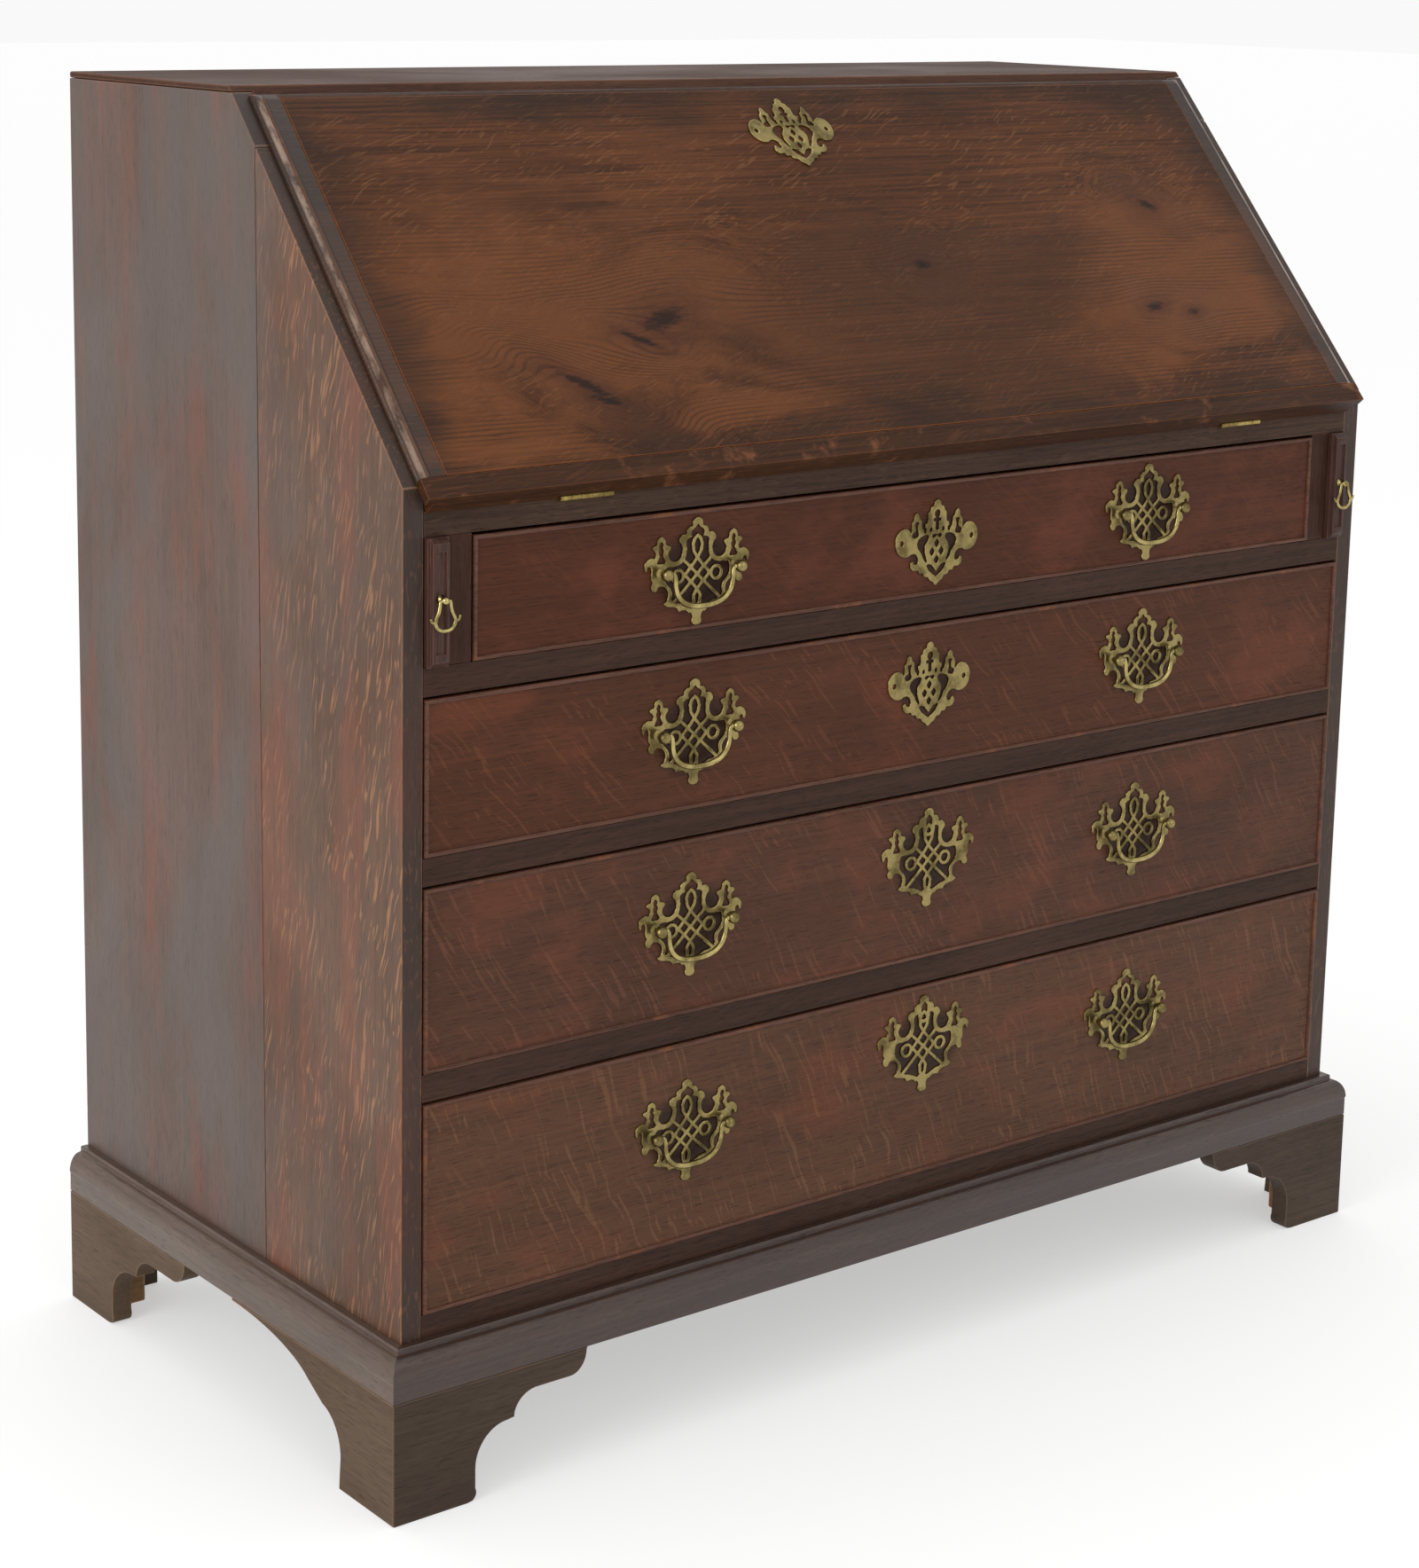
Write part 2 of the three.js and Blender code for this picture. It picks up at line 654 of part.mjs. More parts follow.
// Half outlines of the brass plates in (x, z), from the top finial round to the bottom pendant.
const handlePlateHalf = [
  [0, 41.5], [4, 39], [6.5, 33], [12, 31], [14.5, 24], [20, 22], [21, 16], [17, 13], [16, 6], [21, 3],
  [28, 5], [29, 12], [27, 19], [31.5, 21.5], [34, 27.5], [37.5, 22], [42, 18], [40, 12], [44, 5],
  [50, 3], [49, -4], [44, -3], [43, -8], [46, -13], [41, -17], [35, -13], [31, -15], [33, -26],
  [24, -29], [12, -31], [6, -33], [5, -40], [0, -41.5],
];
const lockPlateHalf = [
  [0, 35], [4, 31], [8, 26], [11, 16], [14, 19], [17, 25], [20, 20], [24, 13], [31, 9], [37, 13],
  [43, 9], [44, 2], [40, -5], [32, -6], [25, -7], [22, -12], [27, -16], [25, -21], [17, -20],
  [14, -26], [7, -29], [0, -35],
];

function fretPlate(half) {
  const outline = [...half, ...half.slice(1, -1).reverse().map(([x, z]) => [-x, z])].reverse();
  return alongY(outline, -plateThickness - fit, -fit);
}

// The balls are bored on their inner sides for the pins of the bail.
function handlePlate() {
  const posts = [-1, 1].flatMap((side) => [
    rodY(postRadius, -postReach, -fit - 0.5, (side * postSpacing) / 2, postRise, 8),
    ball(ballRadius, (side * postSpacing) / 2, -postReach, postRise),
  ]);
  const bore = rodX(bailBore, -postSpacing / 2, postSpacing / 2, -postReach, postRise, 8);
  return cut(join(fretPlate(handlePlateHalf), ...posts), bore);
}

// Bail: pins into the posts, straight sides and a broad round bottom.
function bail() {
  const half = [
    [bailHalfWidth, 0], [bailHalfWidth, -5], [bailHalfWidth * 0.96, -bailDrop * 0.43],
    [bailHalfWidth * 0.8, -bailDrop * 0.72], [bailHalfWidth * 0.44, -bailDrop * 0.95], [0, -bailDrop],
  ];
  const reach = postSpacing / 2 - ballRadius * 0.35;
  return hangingWire(half, bailRadius, reach, bailPinRadius, 16, 6);
}

drawers.forEach((drawer, index) => {
  const halfOpening = index === 0 ? partitionInner : innerHalf;
  const middle = (drawer.bottom + drawer.top) / 2;
  place(`${drawer.name}_front`, frontBoard(drawer, halfOpening), oakDark);
  place(`${drawer.name}_box`, drawerBox(drawer, halfOpening), oakInner);
  for (const [side, word] of [[-1, 'left'], [1, 'right']]) {
    const x = (side * handleSpacing) / 2;
    const z = middle + drawer.handleRise;
    place(`${drawer.name}_${word}_plate`, handlePlate(), brass).position.set(x, 0, z);
    place(`${drawer.name}_${word}_bail`, bail(), brass).position.set(x, -postReach, z + postRise);
  }
  const centre = fretPlate(drawer.lockPlate ? lockPlateHalf : handlePlateHalf);
  place(`${drawer.name}_centre_plate`, centre, brass).position
    .set(drawer.plateShift, 0, middle + drawer.plateRise);
});

// The fall's escutcheon lies on its outer face, near the top edge.
const fallPlate = fretPlate(lockPlateHalf).rotateX(-Math.PI / 2);
place('fall_escutcheon', fallPlate, brass, slope).position.set(0, fallTop - fallPlateDrop, lipProud);

// ---------------------------------------------------------------- pigeonholes and letter drawers
const unitHalf = innerHalf - 2 * fit;
const unitBottom = writingTop + fit;
const unitTop = caseHeight - topThickness - fit;
const unitFront = (unitTop - slantBottom) / Math.tan(fallSlope) + innerFaceDepth + unitFallClearance;
const unitBack = backFace - fit;
const tierTop = unitBottom + unitBoard + letterDrawerHeight;
const unitClear = unitHalf - unitBoard;
const holeWidth = (2 * unitClear - (pigeonholes - 1) * unitBoard) / pigeonholes;

function pigeonholeUnit() {
  const shell = box(-unitHalf, unitHalf, unitFront, unitBack, unitBottom, unitTop);
  const hollows = [];
  for (let i = 0; i < pigeonholes; i += 1) {
    const x = -unitClear + i * (holeWidth + unitBoard);
    hollows.push(box(x, x + holeWidth, unitFront - over, unitBack - unitBoard,
      tierTop + unitBoard, unitTop - unitBoard));
  }
  for (const side of [-1, 1]) {
    const near = (side * unitBoard) / 2;
    const far = side * unitClear;
    hollows.push(box(Math.min(near, far), Math.max(near, far), unitFront - over, unitBack - unitBoard,
      unitBottom + unitBoard, tierTop));
  }
  return cut(shell, ...hollows);
}

place('pigeonhole_unit', pigeonholeUnit(), oakInner);

function letterDrawer() {
  const half = (unitClear - unitBoard / 2) / 2 - letterDrawerGap;
  const bottom = unitBottom + unitBoard + letterDrawerGap / 2;
  const top = tierTop - letterDrawerGap;
  const back = unitBack - unitBoard - letterDrawerStop;
  const shell = box(-half, half, unitFront, back, bottom, top);
  const hollow = box(-half + letterDrawerWall, half - letterDrawerWall, unitFront + letterDrawerFront,
    back - letterDrawerWall, bottom + letterDrawerWall, top + over);
  const headBack = unitFront - knobLength + knobHead;
  const middle = (bottom + top) / 2;
  const knobs = [-half / 2, half / 2].flatMap((x) => [
    rodY(knobNeckRadius, headBack - over, unitFront + over, x, middle),
    rodY(knobRadius, unitFront - knobLength, headBack, x, middle),
  ]);
  return join(cut(shell, hollow), ...knobs);
}

const letterDrawerCentre = (unitClear + unitBoard / 2) / 2;
place('left_letter_drawer', letterDrawer(), oakInner).position.x = -letterDrawerCentre;
place('right_letter_drawer', letterDrawer(), oakInner).position.x = letterDrawerCentre;

export default bureau;
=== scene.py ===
import math

import bmesh
import bpy
import numpy as np
from mathutils import Matrix, Vector


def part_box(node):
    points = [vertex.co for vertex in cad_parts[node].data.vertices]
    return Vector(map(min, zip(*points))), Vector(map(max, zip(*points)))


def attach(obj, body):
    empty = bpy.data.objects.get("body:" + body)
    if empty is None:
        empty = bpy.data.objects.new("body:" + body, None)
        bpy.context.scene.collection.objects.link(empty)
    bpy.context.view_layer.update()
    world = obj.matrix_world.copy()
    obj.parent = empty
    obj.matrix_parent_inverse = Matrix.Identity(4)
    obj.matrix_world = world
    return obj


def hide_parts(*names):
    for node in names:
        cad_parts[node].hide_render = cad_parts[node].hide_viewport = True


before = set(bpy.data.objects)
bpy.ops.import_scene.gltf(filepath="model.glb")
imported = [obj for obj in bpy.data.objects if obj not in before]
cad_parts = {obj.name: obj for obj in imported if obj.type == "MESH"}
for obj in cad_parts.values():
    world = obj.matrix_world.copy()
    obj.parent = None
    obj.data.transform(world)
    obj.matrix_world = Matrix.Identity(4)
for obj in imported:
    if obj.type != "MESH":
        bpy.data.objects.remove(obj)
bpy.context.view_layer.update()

# ---------------------------------------------------------------- camera
# It stands to the left of the desk's front, a little above its top, and looks slightly down.
# The shift only sets how the desk sits in the picture.
yaw, pitch, roll = (math.radians(a) for a in (37.676, -10.636, 0.983))
ahead = Vector((math.sin(yaw) * math.cos(pitch), math.cos(yaw) * math.cos(pitch), math.sin(pitch)))
level = Vector((math.cos(yaw), -math.sin(yaw), 0))
upright = level.cross(ahead)
across = level * math.cos(roll) + upright * math.sin(roll)
above = upright * math.cos(roll) - level * math.sin(roll)
camera = bpy.data.objects.new("camera", bpy.data.cameras.new("camera"))
bpy.context.scene.collection.objects.link(camera)
camera.matrix_world = Matrix.Translation((-1.7095, -2.0953, 1.1464)) @ Matrix(
    (across, above, -ahead)).transposed().to_4x4()
camera.data.lens = 73.66
camera.data.shift_x = 0.0302
camera.data.shift_y = -0.15
camera.data.clip_end = 50
bpy.context.scene.camera = camera
bpy.context.scene.view_settings.view_transform = "Standard"

# ---------------------------------------------------------------- floor and light
# A plain pale floor under a pale room, a large soft window on the left and a weaker one in front.
floor = bpy.data.meshes.new("floor")
floor.from_pydata([(-30, -30, 0), (30, -30, 0), (30, 30, 0), (-30, 30, 0)], [], [(0, 1, 2, 3)])
floor = bpy.data.objects.new("floor", floor)
bpy.context.scene.collection.objects.link(floor)
pale = bpy.data.materials.new("pale_floor")
pale.use_nodes = True
paint = pale.node_tree.nodes["Principled BSDF"]
paint.inputs["Base Color"].default_value = (0.5, 0.5, 0.5, 1)
paint.inputs["Roughness"].default_value = 0.9
paint.inputs["Emission Color"].default_value = (1, 1, 1, 1)
paint.inputs["Emission Strength"].default_value = 0.47
floor.data.materials.append(pale)

room = bpy.data.worlds.new("room")
bpy.context.scene.world = room
room.use_nodes = True
room.node_tree.nodes["Background"].inputs["Color"].default_value = (1, 1, 1, 1)
room.node_tree.nodes["Background"].inputs["Strength"].default_value = 0.95


def window(name, place, target, width, height, power):
    """A flat rectangle of light of that size in metres, turned to face a point of the desk."""
    light = bpy.data.lights.new(name, "AREA")
    light.shape, light.size, light.size_y, light.energy = "RECTANGLE", width, height, power
    lamp = bpy.data.objects.new(name, light)
    bpy.context.scene.collection.objects.link(lamp)
    lamp.location = place
    lamp.rotation_euler = (Vector(target) - Vector(place)).to_track_quat("-Z", "Y").to_euler()


window("window_left", (-3.6, -0.6, 1.9), (0, 0, 0.6), 2.2, 2.2, 60)
window("window_front", (0.6, -3.6, 2.6), (0, 0, 0.5), 2.0, 1.6, 14)
window("window_above", (0.2, 0.4, 3.4), (0, 0, 1.0), 2.4, 1.8, 16)

# ---------------------------------------------------------------- gables
# Each gable is glued up from a wide front board of quarter-sawn oak and a plainer narrow board
# behind it, both with the grain upright. The joint has opened to a hairline.
front_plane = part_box("left_side")[0].y


def tone(red, green, blue):
    """The linear colour of a screen colour given as three numbers from 0 to 255."""
    shares = np.array([red, green, blue]) / 255
    return (*np.where(shares < 0.04045, shares / 12.92, ((shares + 0.055) / 1.055) ** 2.4), 1)


class Finish:
    """A procedural surface, put together from small steps that each return a socket."""

    def __init__(self, name):
        self.material = bpy.data.materials.new(name)
        self.material.use_nodes = True
        self.tree = self.material.node_tree
        self.surface = self.tree.nodes["Principled BSDF"]
        self.object_place = self.step("ShaderNodeTexCoord").outputs["Object"]

    def step(self, kind, **settings):
        node = self.tree.nodes.new(kind)
        for key, value in settings.items():
            setattr(node, key, value)
        return node

    def feed(self, socket, value):
        if isinstance(value, bpy.types.NodeSocket):
            self.tree.links.new(value, socket)
        else:
            socket.default_value = value

    def sum(self, operation, first, second=0.0, third=0.0, clamp=False):
        node = self.step("ShaderNodeMath", operation=operation, use_clamp=clamp)
        for socket, value in zip(node.inputs, (first, second, third)):
            self.feed(socket, value)
        return node.outputs[0]

    def turned(self, place, turn=(0, 0, 0), scale=(1, 1, 1), move=(0, 0, 0)):
        """place scaled, then turned, then moved."""
        node = self.step("ShaderNodeMapping")
        self.feed(node.inputs["Vector"], place)
        node.inputs["Scale"].default_value = scale
        node.inputs["Rotation"].default_value = turn
        node.inputs["Location"].default_value = move
        return node.outputs[0]

    def noise(self, place, scale, detail=3.0, rough=0.55, warp=0.0):
        node = self.step("ShaderNodeTexNoise")
        self.feed(node.inputs["Vector"], self.turned(place, scale=scale))
        node.inputs["Scale"].default_value = 1
        node.inputs["Detail"].default_value = detail
        node.inputs["Roughness"].default_value = rough
        node.inputs["Distortion"].default_value = warp
        return node.outputs["Fac"]

    def wander(self, place, scale):
        """A vector that drifts about zero from place to place."""
        node = self.step("ShaderNodeTexNoise")
        self.feed(node.inputs["Vector"], self.turned(place, scale=scale))
        node.inputs["Scale"].default_value = 1
        return self.vector("SUBTRACT", node.outputs["Color"], (0.5, 0.5, 0.5))

    def vector(self, operation, first, second=(0, 0, 0)):
        """A vector sum, a scaling by a number, or a length."""
        node = self.step("ShaderNodeVectorMath", operation=operation)
        self.feed(node.inputs[0], first)
        self.feed(node.inputs["Scale" if operation == "SCALE" else 1], second)
        return node.outputs["Value" if operation == "LENGTH" else "Vector"]

    def rise(self, value, low, high, start=0.0, end=1.0):
        """Smooth step from start to end as value goes from low to high."""
        node = self.step("ShaderNodeMapRange", interpolation_type="SMOOTHSTEP")
        for socket, number in zip(node.inputs, (value, low, high, start, end)):
            self.feed(socket, number)
        return node.outputs[0]

    def blend(self, share, first, second, how="MIX"):
        node = self.step("ShaderNodeMix", data_type="RGBA", blend_type=how)
        self.feed(node.inputs["Factor"], share)
        self.feed(node.inputs["A"], first)
        self.feed(node.inputs["B"], second)
        return node.outputs["Result"]

    def parts(self, place):
        node = self.step("ShaderNodeSeparateXYZ")
        self.feed(node.inputs[0], place)
        return node.outputs

    def relief(self, height, depth):
        """A bump of that depth in metres on the surface."""
        node = self.step("ShaderNodeBump")
        node.inputs["Distance"].default_value = depth
        self.feed(node.inputs["Height"], height)
        self.feed(self.surface.inputs["Normal"], node.outputs[0])


GRAIN_UP = (0, math.pi / 2, 0)  # the turn that brings the grain of a standing board along X
GRAIN_ACROSS = (-math.pi / 2, 0, 0)  # a face that looks forward, grain left to right
GRAIN_FLAT = (0, 0, 0)  # a level board, grain left to right
GRAIN_BACK = (0, 0, -math.pi / 2)  # grain from front to back


def oak(name, grain, dark, light, ray, rays=0.5, ray_turn=0.3, ray_size=(18, 360), seed=0.0,
        gloss=0.42, polish=0.10, figure=1.0, warm=0.0, spots=(), shade=None,
        wear=0.0, bloom=0.0, soil=()):
    """Waxed oak. Fine lines and short pores run along the grain; rays are thin pale dashes turned a
    given angle off it, which wander. Cloudy patches darken it, warm patches redden it, bloom greys
    the wax, wear lifts it to bare wood, and soil is old polish, dark round each place given. Round
    each knot the grain is drawn in, so its lines part."""
    f = Finish(name)
    place = f.turned(f.object_place, turn=grain, move=(seed, seed * 1.7, seed * 0.6))
    drawn, knots, halos = place, 0.0, 0.0
    for centre, size, tilt in spots:
        offset = f.vector("SUBTRACT", place, (centre[0] + seed, centre[1] + seed * 1.7, 0))
        leant = f.turned(offset, turn=(0, 0, -tilt))
        length = f.vector("LENGTH", f.turned(leant, scale=(1 / size[0], 1 / size[1], 0)))
        wide = f.vector("LENGTH", f.turned(leant, scale=(0.4 / size[0], 0.3 / size[1], 0)))
        near = f.sum("EXPONENT", f.sum("MULTIPLY", f.sum("POWER", wide, 2.0), -0.7))
        drawn = f.vector("ADD", drawn, f.vector("SCALE", offset, f.sum("MULTIPLY", near, -0.8)))
        ragged = f.sum("MULTIPLY_ADD", f.noise(place, (90, 420, 90), 4, 0.7), 2.4, -1.2)
        knots = f.sum("MAXIMUM", knots, f.rise(f.sum("ADD", length, ragged), 1.15, 0.25))
        frayed = f.sum("ADD", wide, f.sum("MULTIPLY", ragged, 0.5))
        halos = f.sum("MAXIMUM", halos, f.rise(frayed, 1.1, 0.3))
    streaks = f.noise(drawn, (3.2, 80, 80), 4, 0.6, 0.3)
    lines = f.noise(drawn, (7, 420, 420), 3, 0.6, 0.2)
    pores = f.noise(drawn, (60, 1300, 1300), 2, 0.5)
    cloud = f.noise(place, (4.5, 7, 7), 3, 0.5, 0.4)
    value = f.sum("ADD", f.sum("MULTIPLY", streaks, 0.4), f.sum("MULTIPLY", lines, 0.6))
    colour = f.blend(f.rise(value, 0.5 - 0.24 / figure, 0.5 + 0.24 / figure), dark, light)
    colour = f.blend(f.rise(cloud, 0.35, 0.68, 0.0, 0.4), colour, dark)
    wandering = f.vector("ADD", place, f.vector("SCALE", f.wander(place, (12, 12, 12)), 0.024))
    dashes = f.noise(f.turned(f.turned(wandering, turn=(0, 0, -ray_turn)),
                              scale=(ray_size[0], ray_size[1], ray_size[1])), (1, 1, 1), 1, 0.4)
    patchy = f.rise(f.noise(place, (11, 17, 17), 2), 0.34, 0.56, 0.15, 1.0)
    fleck = f.sum("MULTIPLY", f.rise(dashes, 0.58, 0.68), patchy)
    colour = f.blend(f.sum("MULTIPLY", fleck, rays), colour, ray)
    pore = f.rise(pores, 0.58, 0.70)
    colour = f.blend(f.sum("MULTIPLY", pore, 0.5), colour, tuple(c * 0.3 for c in dark[:3]) + (1,))
    if warm:
        red = f.rise(f.noise(f.object_place, (9, 26, 5 if grain == GRAIN_UP else 14), 4, 0.6), 0.48, 0.68)
        colour = f.blend(f.sum("MULTIPLY", red, warm), colour, tone(118, 62, 42))
    if bloom:
        dim = f.rise(f.noise(f.object_place, (7, 7, 3), 4, 0.6, 0.6), 0.40, 0.64)
        colour = f.blend(f.sum("MULTIPLY", dim, bloom), colour, tone(84, 75, 71))
    for centre, reach in soil:
        away = f.turned(f.vector("SUBTRACT", f.object_place, centre), scale=(1 / reach[0], 0, 1 / reach[2]))
        away = f.sum("ADD", f.vector("LENGTH", away), f.sum("MULTIPLY_ADD", cloud, 0.5, -0.25))
        colour = f.blend(f.rise(away, 1.20, 0.70, 0.0, 0.75), colour, tone(24, 17, 13))
    if shade:
        colour = shade(f, place, colour, drawn)
    if spots:
        colour = f.blend(f.sum("MULTIPLY", halos, 0.45), colour, tone(62, 32, 20))
        colour = f.blend(f.sum("MULTIPLY", knots, 0.85), colour, tone(26, 17, 13))
    if wear:
        rubbed = f.rise(f.noise(f.object_place, (28, 28, 28), 4, 0.65),
                        0.62 - wear * 0.3, 0.78 - wear * 0.3)
        colour = f.blend(f.sum("MULTIPLY", rubbed, 0.7), colour, tone(120, 74, 48))
    f.feed(f.surface.inputs["Base Color"], colour)
    f.feed(f.surface.inputs["Roughness"], f.rise(cloud, 0.3, 0.7, gloss - 0.06, gloss + 0.10))
    f.surface.inputs["Specular IOR Level"].default_value = polish
    height = f.sum("SUBTRACT", f.sum("MULTIPLY", value, 0.5), f.sum("MULTIPLY", pore, 0.7))
    f.relief(height, 0.00022)
    return f.material


def edged(name, grain, dark, light, ray, **more):
    """The same oak twice: for the faces, and for the arrises, where the wax is rubbed thin."""
    return (oak(name, grain, dark, light, ray, **more),
            oak(name + "_arris", grain, light, tuple(min(1, c * 1.4) for c in light[:3]) + (1,), ray,
                **{**more, "gloss": 0.34, "wear": 0.25, "shade": None, "soil": ()}))


def cut_copy(node, cuts=()):
    """A merged copy of a CAD node's mesh, cut by planes (point, normal) that keep the side behind."""
    work = bmesh.new()
    work.from_mesh(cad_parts[node].data)
    bmesh.ops.remove_doubles(work, verts=work.verts, dist=1e-5)
    for point, normal in cuts:
        parts = work.verts[:] + work.edges[:] + work.faces[:]
        cut = bmesh.ops.bisect_plane(work, geom=parts, plane_co=point, plane_no=normal, clear_outer=True)
        rim = [e for e in cut["geom_cut"] if isinstance(e, bmesh.types.BMEdge)]
        bmesh.ops.holes_fill(work, edges=rim)
    bmesh.ops.dissolve_limit(work, angle_limit=0.01, verts=work.verts, edges=work.edges)
    return work


def finished(name, work, materials, body, arris=0.0009, stands_for=(), sharp=35):
    """Puts a mesh into the scene with eased arrises, as one piece that rides on a body."""
    mesh = bpy.data.meshes.new(name)
    if isinstance(work, bmesh.types.BMesh):
        work.to_mesh(mesh)
        work.free()
    else:
        mesh.from_pydata(*work)
    mesh.polygons.foreach_set("use_smooth", np.ones(len(mesh.polygons), bool))
    mesh.set_sharp_from_angle(angle=math.radians(sharp))
    for material in materials:
        mesh.materials.append(material)
    mesh.update()
    piece = bpy.data.objects.new(name, mesh)
    bpy.context.scene.collection.objects.link(piece)
    if arris:
        ease = piece.modifiers.new("eased", "BEVEL")
        ease.width, ease.segments, ease.limit_method = arris, 2, "ANGLE"
        ease.angle_limit = math.radians(sharp)
        ease.harden_normals = True
        ease.material = len(materials) - 1
    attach(piece, body)
    if stands_for:
        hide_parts(*stands_for)
    return piece


def board(name, node, materials, body, arris=0.0009, cuts=()):
    """A CAD node as it is, or the part of it behind some cuts, with its arrises eased."""
    return finished(name, cut_copy(node, cuts), materials, body, arris, (node,))


gable_dark, gable_light = tone(69, 48, 36), tone(104, 74, 54)


def painted_edge_shade(f, place, colour, drawn):
    """Painted shade: faces that do not look sideways, such as the slant and the front edge, are darker than
    the side face.
    """
    facing = f.parts(f.step("ShaderNodeNewGeometry").outputs["Normal"])
    along = f.sum("ABSOLUTE", facing["X"])
    return f.blend(f.rise(along, 0.75, 0.35, 0.0, 0.72), colour, tone(36, 27, 24))


front_oak = edged("gable_front_oak", GRAIN_UP, gable_dark, gable_light, tone(152, 106, 72), rays=0.62,
                  ray_turn=-0.22, ray_size=(24, 420), seed=0.31, gloss=0.44, polish=0.25, figure=0.6,
                  warm=0.4, shade=painted_edge_shade, bloom=0.4)
rear_oak = edged("gable_rear_oak", GRAIN_UP, tone(73, 56, 47), tone(100, 76, 64), tone(114, 86, 71),
                 rays=0.12, seed=1.7, gloss=0.4, polish=0.25, figure=0.7, warm=0.4,
                 shade=painted_edge_shade, bloom=0.7)
front_board_wide, half_joint, joint_lean = 0.192, 0.0005, 0.0075
seam = front_plane + front_board_wide
for word in ("left", "right"):
    for part, wood, hand in (("front", front_oak, 1), ("rear", rear_oak, -1)):
        board(f"{word}_gable_{part}_board", f"{word}_side", wood, "carcass",
              cuts=[((0, seam - hand * half_joint, 0), (0, hand, -hand * joint_lean))])

# ---------------------------------------------------------------- top, rails and carcass boards
# The top is one broad board lapped over the gables. Bottom board, dustboards, writing board and
# loper partitions are housed between the gables; only their dark front edges show when closed.
top_oak = edged("top_oak", GRAIN_FLAT, tone(55, 36, 28), tone(83, 55, 41), tone(95, 65, 47), rays=0.2,
                seed=2.3, gloss=0.5, polish=0.06)
rail_oak = edged("rail_oak", GRAIN_ACROSS, tone(45, 31, 24), tone(69, 47, 36), tone(86, 58, 44), rays=0.15,
                 seed=3.1, gloss=0.40)
upright_oak = edged("upright_oak", GRAIN_UP, tone(45, 29, 22), tone(67, 40, 31), tone(86, 55, 40),
                    rays=0.15, seed=3.9, gloss=0.40)
inner_oak = edged("inner_oak", GRAIN_FLAT, tone(104, 76, 52), tone(150, 116, 82), tone(170, 136, 100),
                  rays=0.2, seed=4.4, gloss=0.62)
board("top", "top_board", top_oak, "carcass", 0.0014)
for level_name in ("bottom_board", "dustboard_lower", "dustboard_middle", "dustboard_upper"):
    board(level_name + "_eased", level_name, rail_oak, "carcass", 0.0007)
writing_oak = edged("writing_oak", GRAIN_FLAT, tone(48, 34, 28), tone(76, 56, 43), tone(89, 68, 52),
                    rays=0.25, seed=5.2, gloss=0.46)
board("writing_board_eased", "writing_board", writing_oak, "carcass", 0.0008)
for word in ("left", "right"):
    board(f"{word}_partition", f"{word}_loper_partition", upright_oak, "carcass", 0.0006)

# ---------------------------------------------------------------- back
# Five upright planks, each chamfered along its edges, nailed into the rebates of the gables.
back_oak = edged("back_oak", GRAIN_UP, tone(92, 70, 54), tone(128, 100, 78), tone(140, 112, 88), rays=0.1,
                 seed=6.1, gloss=0.72)
back_low, back_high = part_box("back_panel")
plank_count, plank_gap, chamfer = 5, 0.0006, 0.0015
plank_width = (back_high.x - back_low.x) / plank_count


def prism(outline, low, high, axis):
    """An outline of (u, v) points, counter-clockwise seen from the high side, run from low to high
    along an axis: a closed solid of two end faces and one wall for each side of the outline."""
    outline = np.array(outline, float)
    count = len(outline)
    points = np.zeros((2, count, 3))
    first, second = [(1, 2), (2, 0), (0, 1)][axis]
    points[..., first], points[..., second] = outline[:, 0], outline[:, 1]
    points[0, :, axis], points[1, :, axis] = low, high
    ahead_of = np.roll(np.arange(count), -1)
    walls = np.stack([np.arange(count), ahead_of, ahead_of + count, np.arange(count) + count], 1)
    ends = [list(range(count))[::-1], list(range(count, 2 * count))]
    return points.reshape(-1, 3).tolist(), [], walls.tolist() + ends


for index in range(plank_count):
    west = back_low.x + index * plank_width + plank_gap / 2
    east = west + plank_width - plank_gap
    section = [(west, back_low.y), (east, back_low.y), (east, back_high.y - chamfer),
               (east - chamfer, back_high.y), (west + chamfer, back_high.y), (west, back_high.y - chamfer)]
    finished(f"back_plank_{index + 1}", prism(section, back_low.z, back_high.z, 2), back_oak, "carcass",
             0.0004, ("back_panel",))

# ---------------------------------------------------------------- base moulding
# Three runs of moulding, mitred at the front corners: a flat band, an ovolo, a quirk and a thin
# fillet against the case. They are planted on the base frame that carries the carcass.
half_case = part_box("right_side")[1].x
moulding_low, moulding_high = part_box("base_moulding")
moulding_reach = moulding_high.x - half_case
frame_width = 0.045
band_top = moulding_low.z + 0.0165
ovolo_top = moulding_low.z + 0.0322
case_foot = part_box("left_side")[0].z - 0.0003
base_oak = edged("base_oak", GRAIN_ACROSS, tone(44, 30, 25), tone(68, 48, 39), tone(82, 60, 48), rays=0.15,
                 seed=7.2, gloss=0.24, polish=0.55, figure=0.7)
# The side runs take the same oak painted lighter: painted light, the window's light on the sides.
base_side_painted_lit_oak = edged("base_side_painted_lit_oak", GRAIN_BACK, tone(64, 50, 42), tone(96, 76, 62), tone(110, 86, 70),
                      rays=0.15, seed=7.7, gloss=0.28, polish=0.45, figure=0.7)


def moulding_section():
    """Points (reach, height): straight band, a quarter ellipse for the ovolo, a sunk quirk and a fillet."""
    turn = np.linspace(0, math.pi / 2, 14)
    ovolo = np.stack([moulding_reach - 0.0095 * (1 - np.cos(turn)),
                      band_top + (ovolo_top - band_top) * np.sin(turn)], 1)
    before = [(-frame_width, moulding_low.z), (moulding_reach - 0.0006, moulding_low.z),
              (moulding_reach - 0.0006, band_top - 0.0006)]
    after = [(0.0066, ovolo_top + 0.0006), (0.0066, moulding_high.z - 0.0010),
             (0.0058, moulding_high.z - 0.0001), (0.0003, moulding_high.z), (0.0003, case_foot),
             (-frame_width, case_foot)]
    return np.array(before + ovolo.tolist() + after)


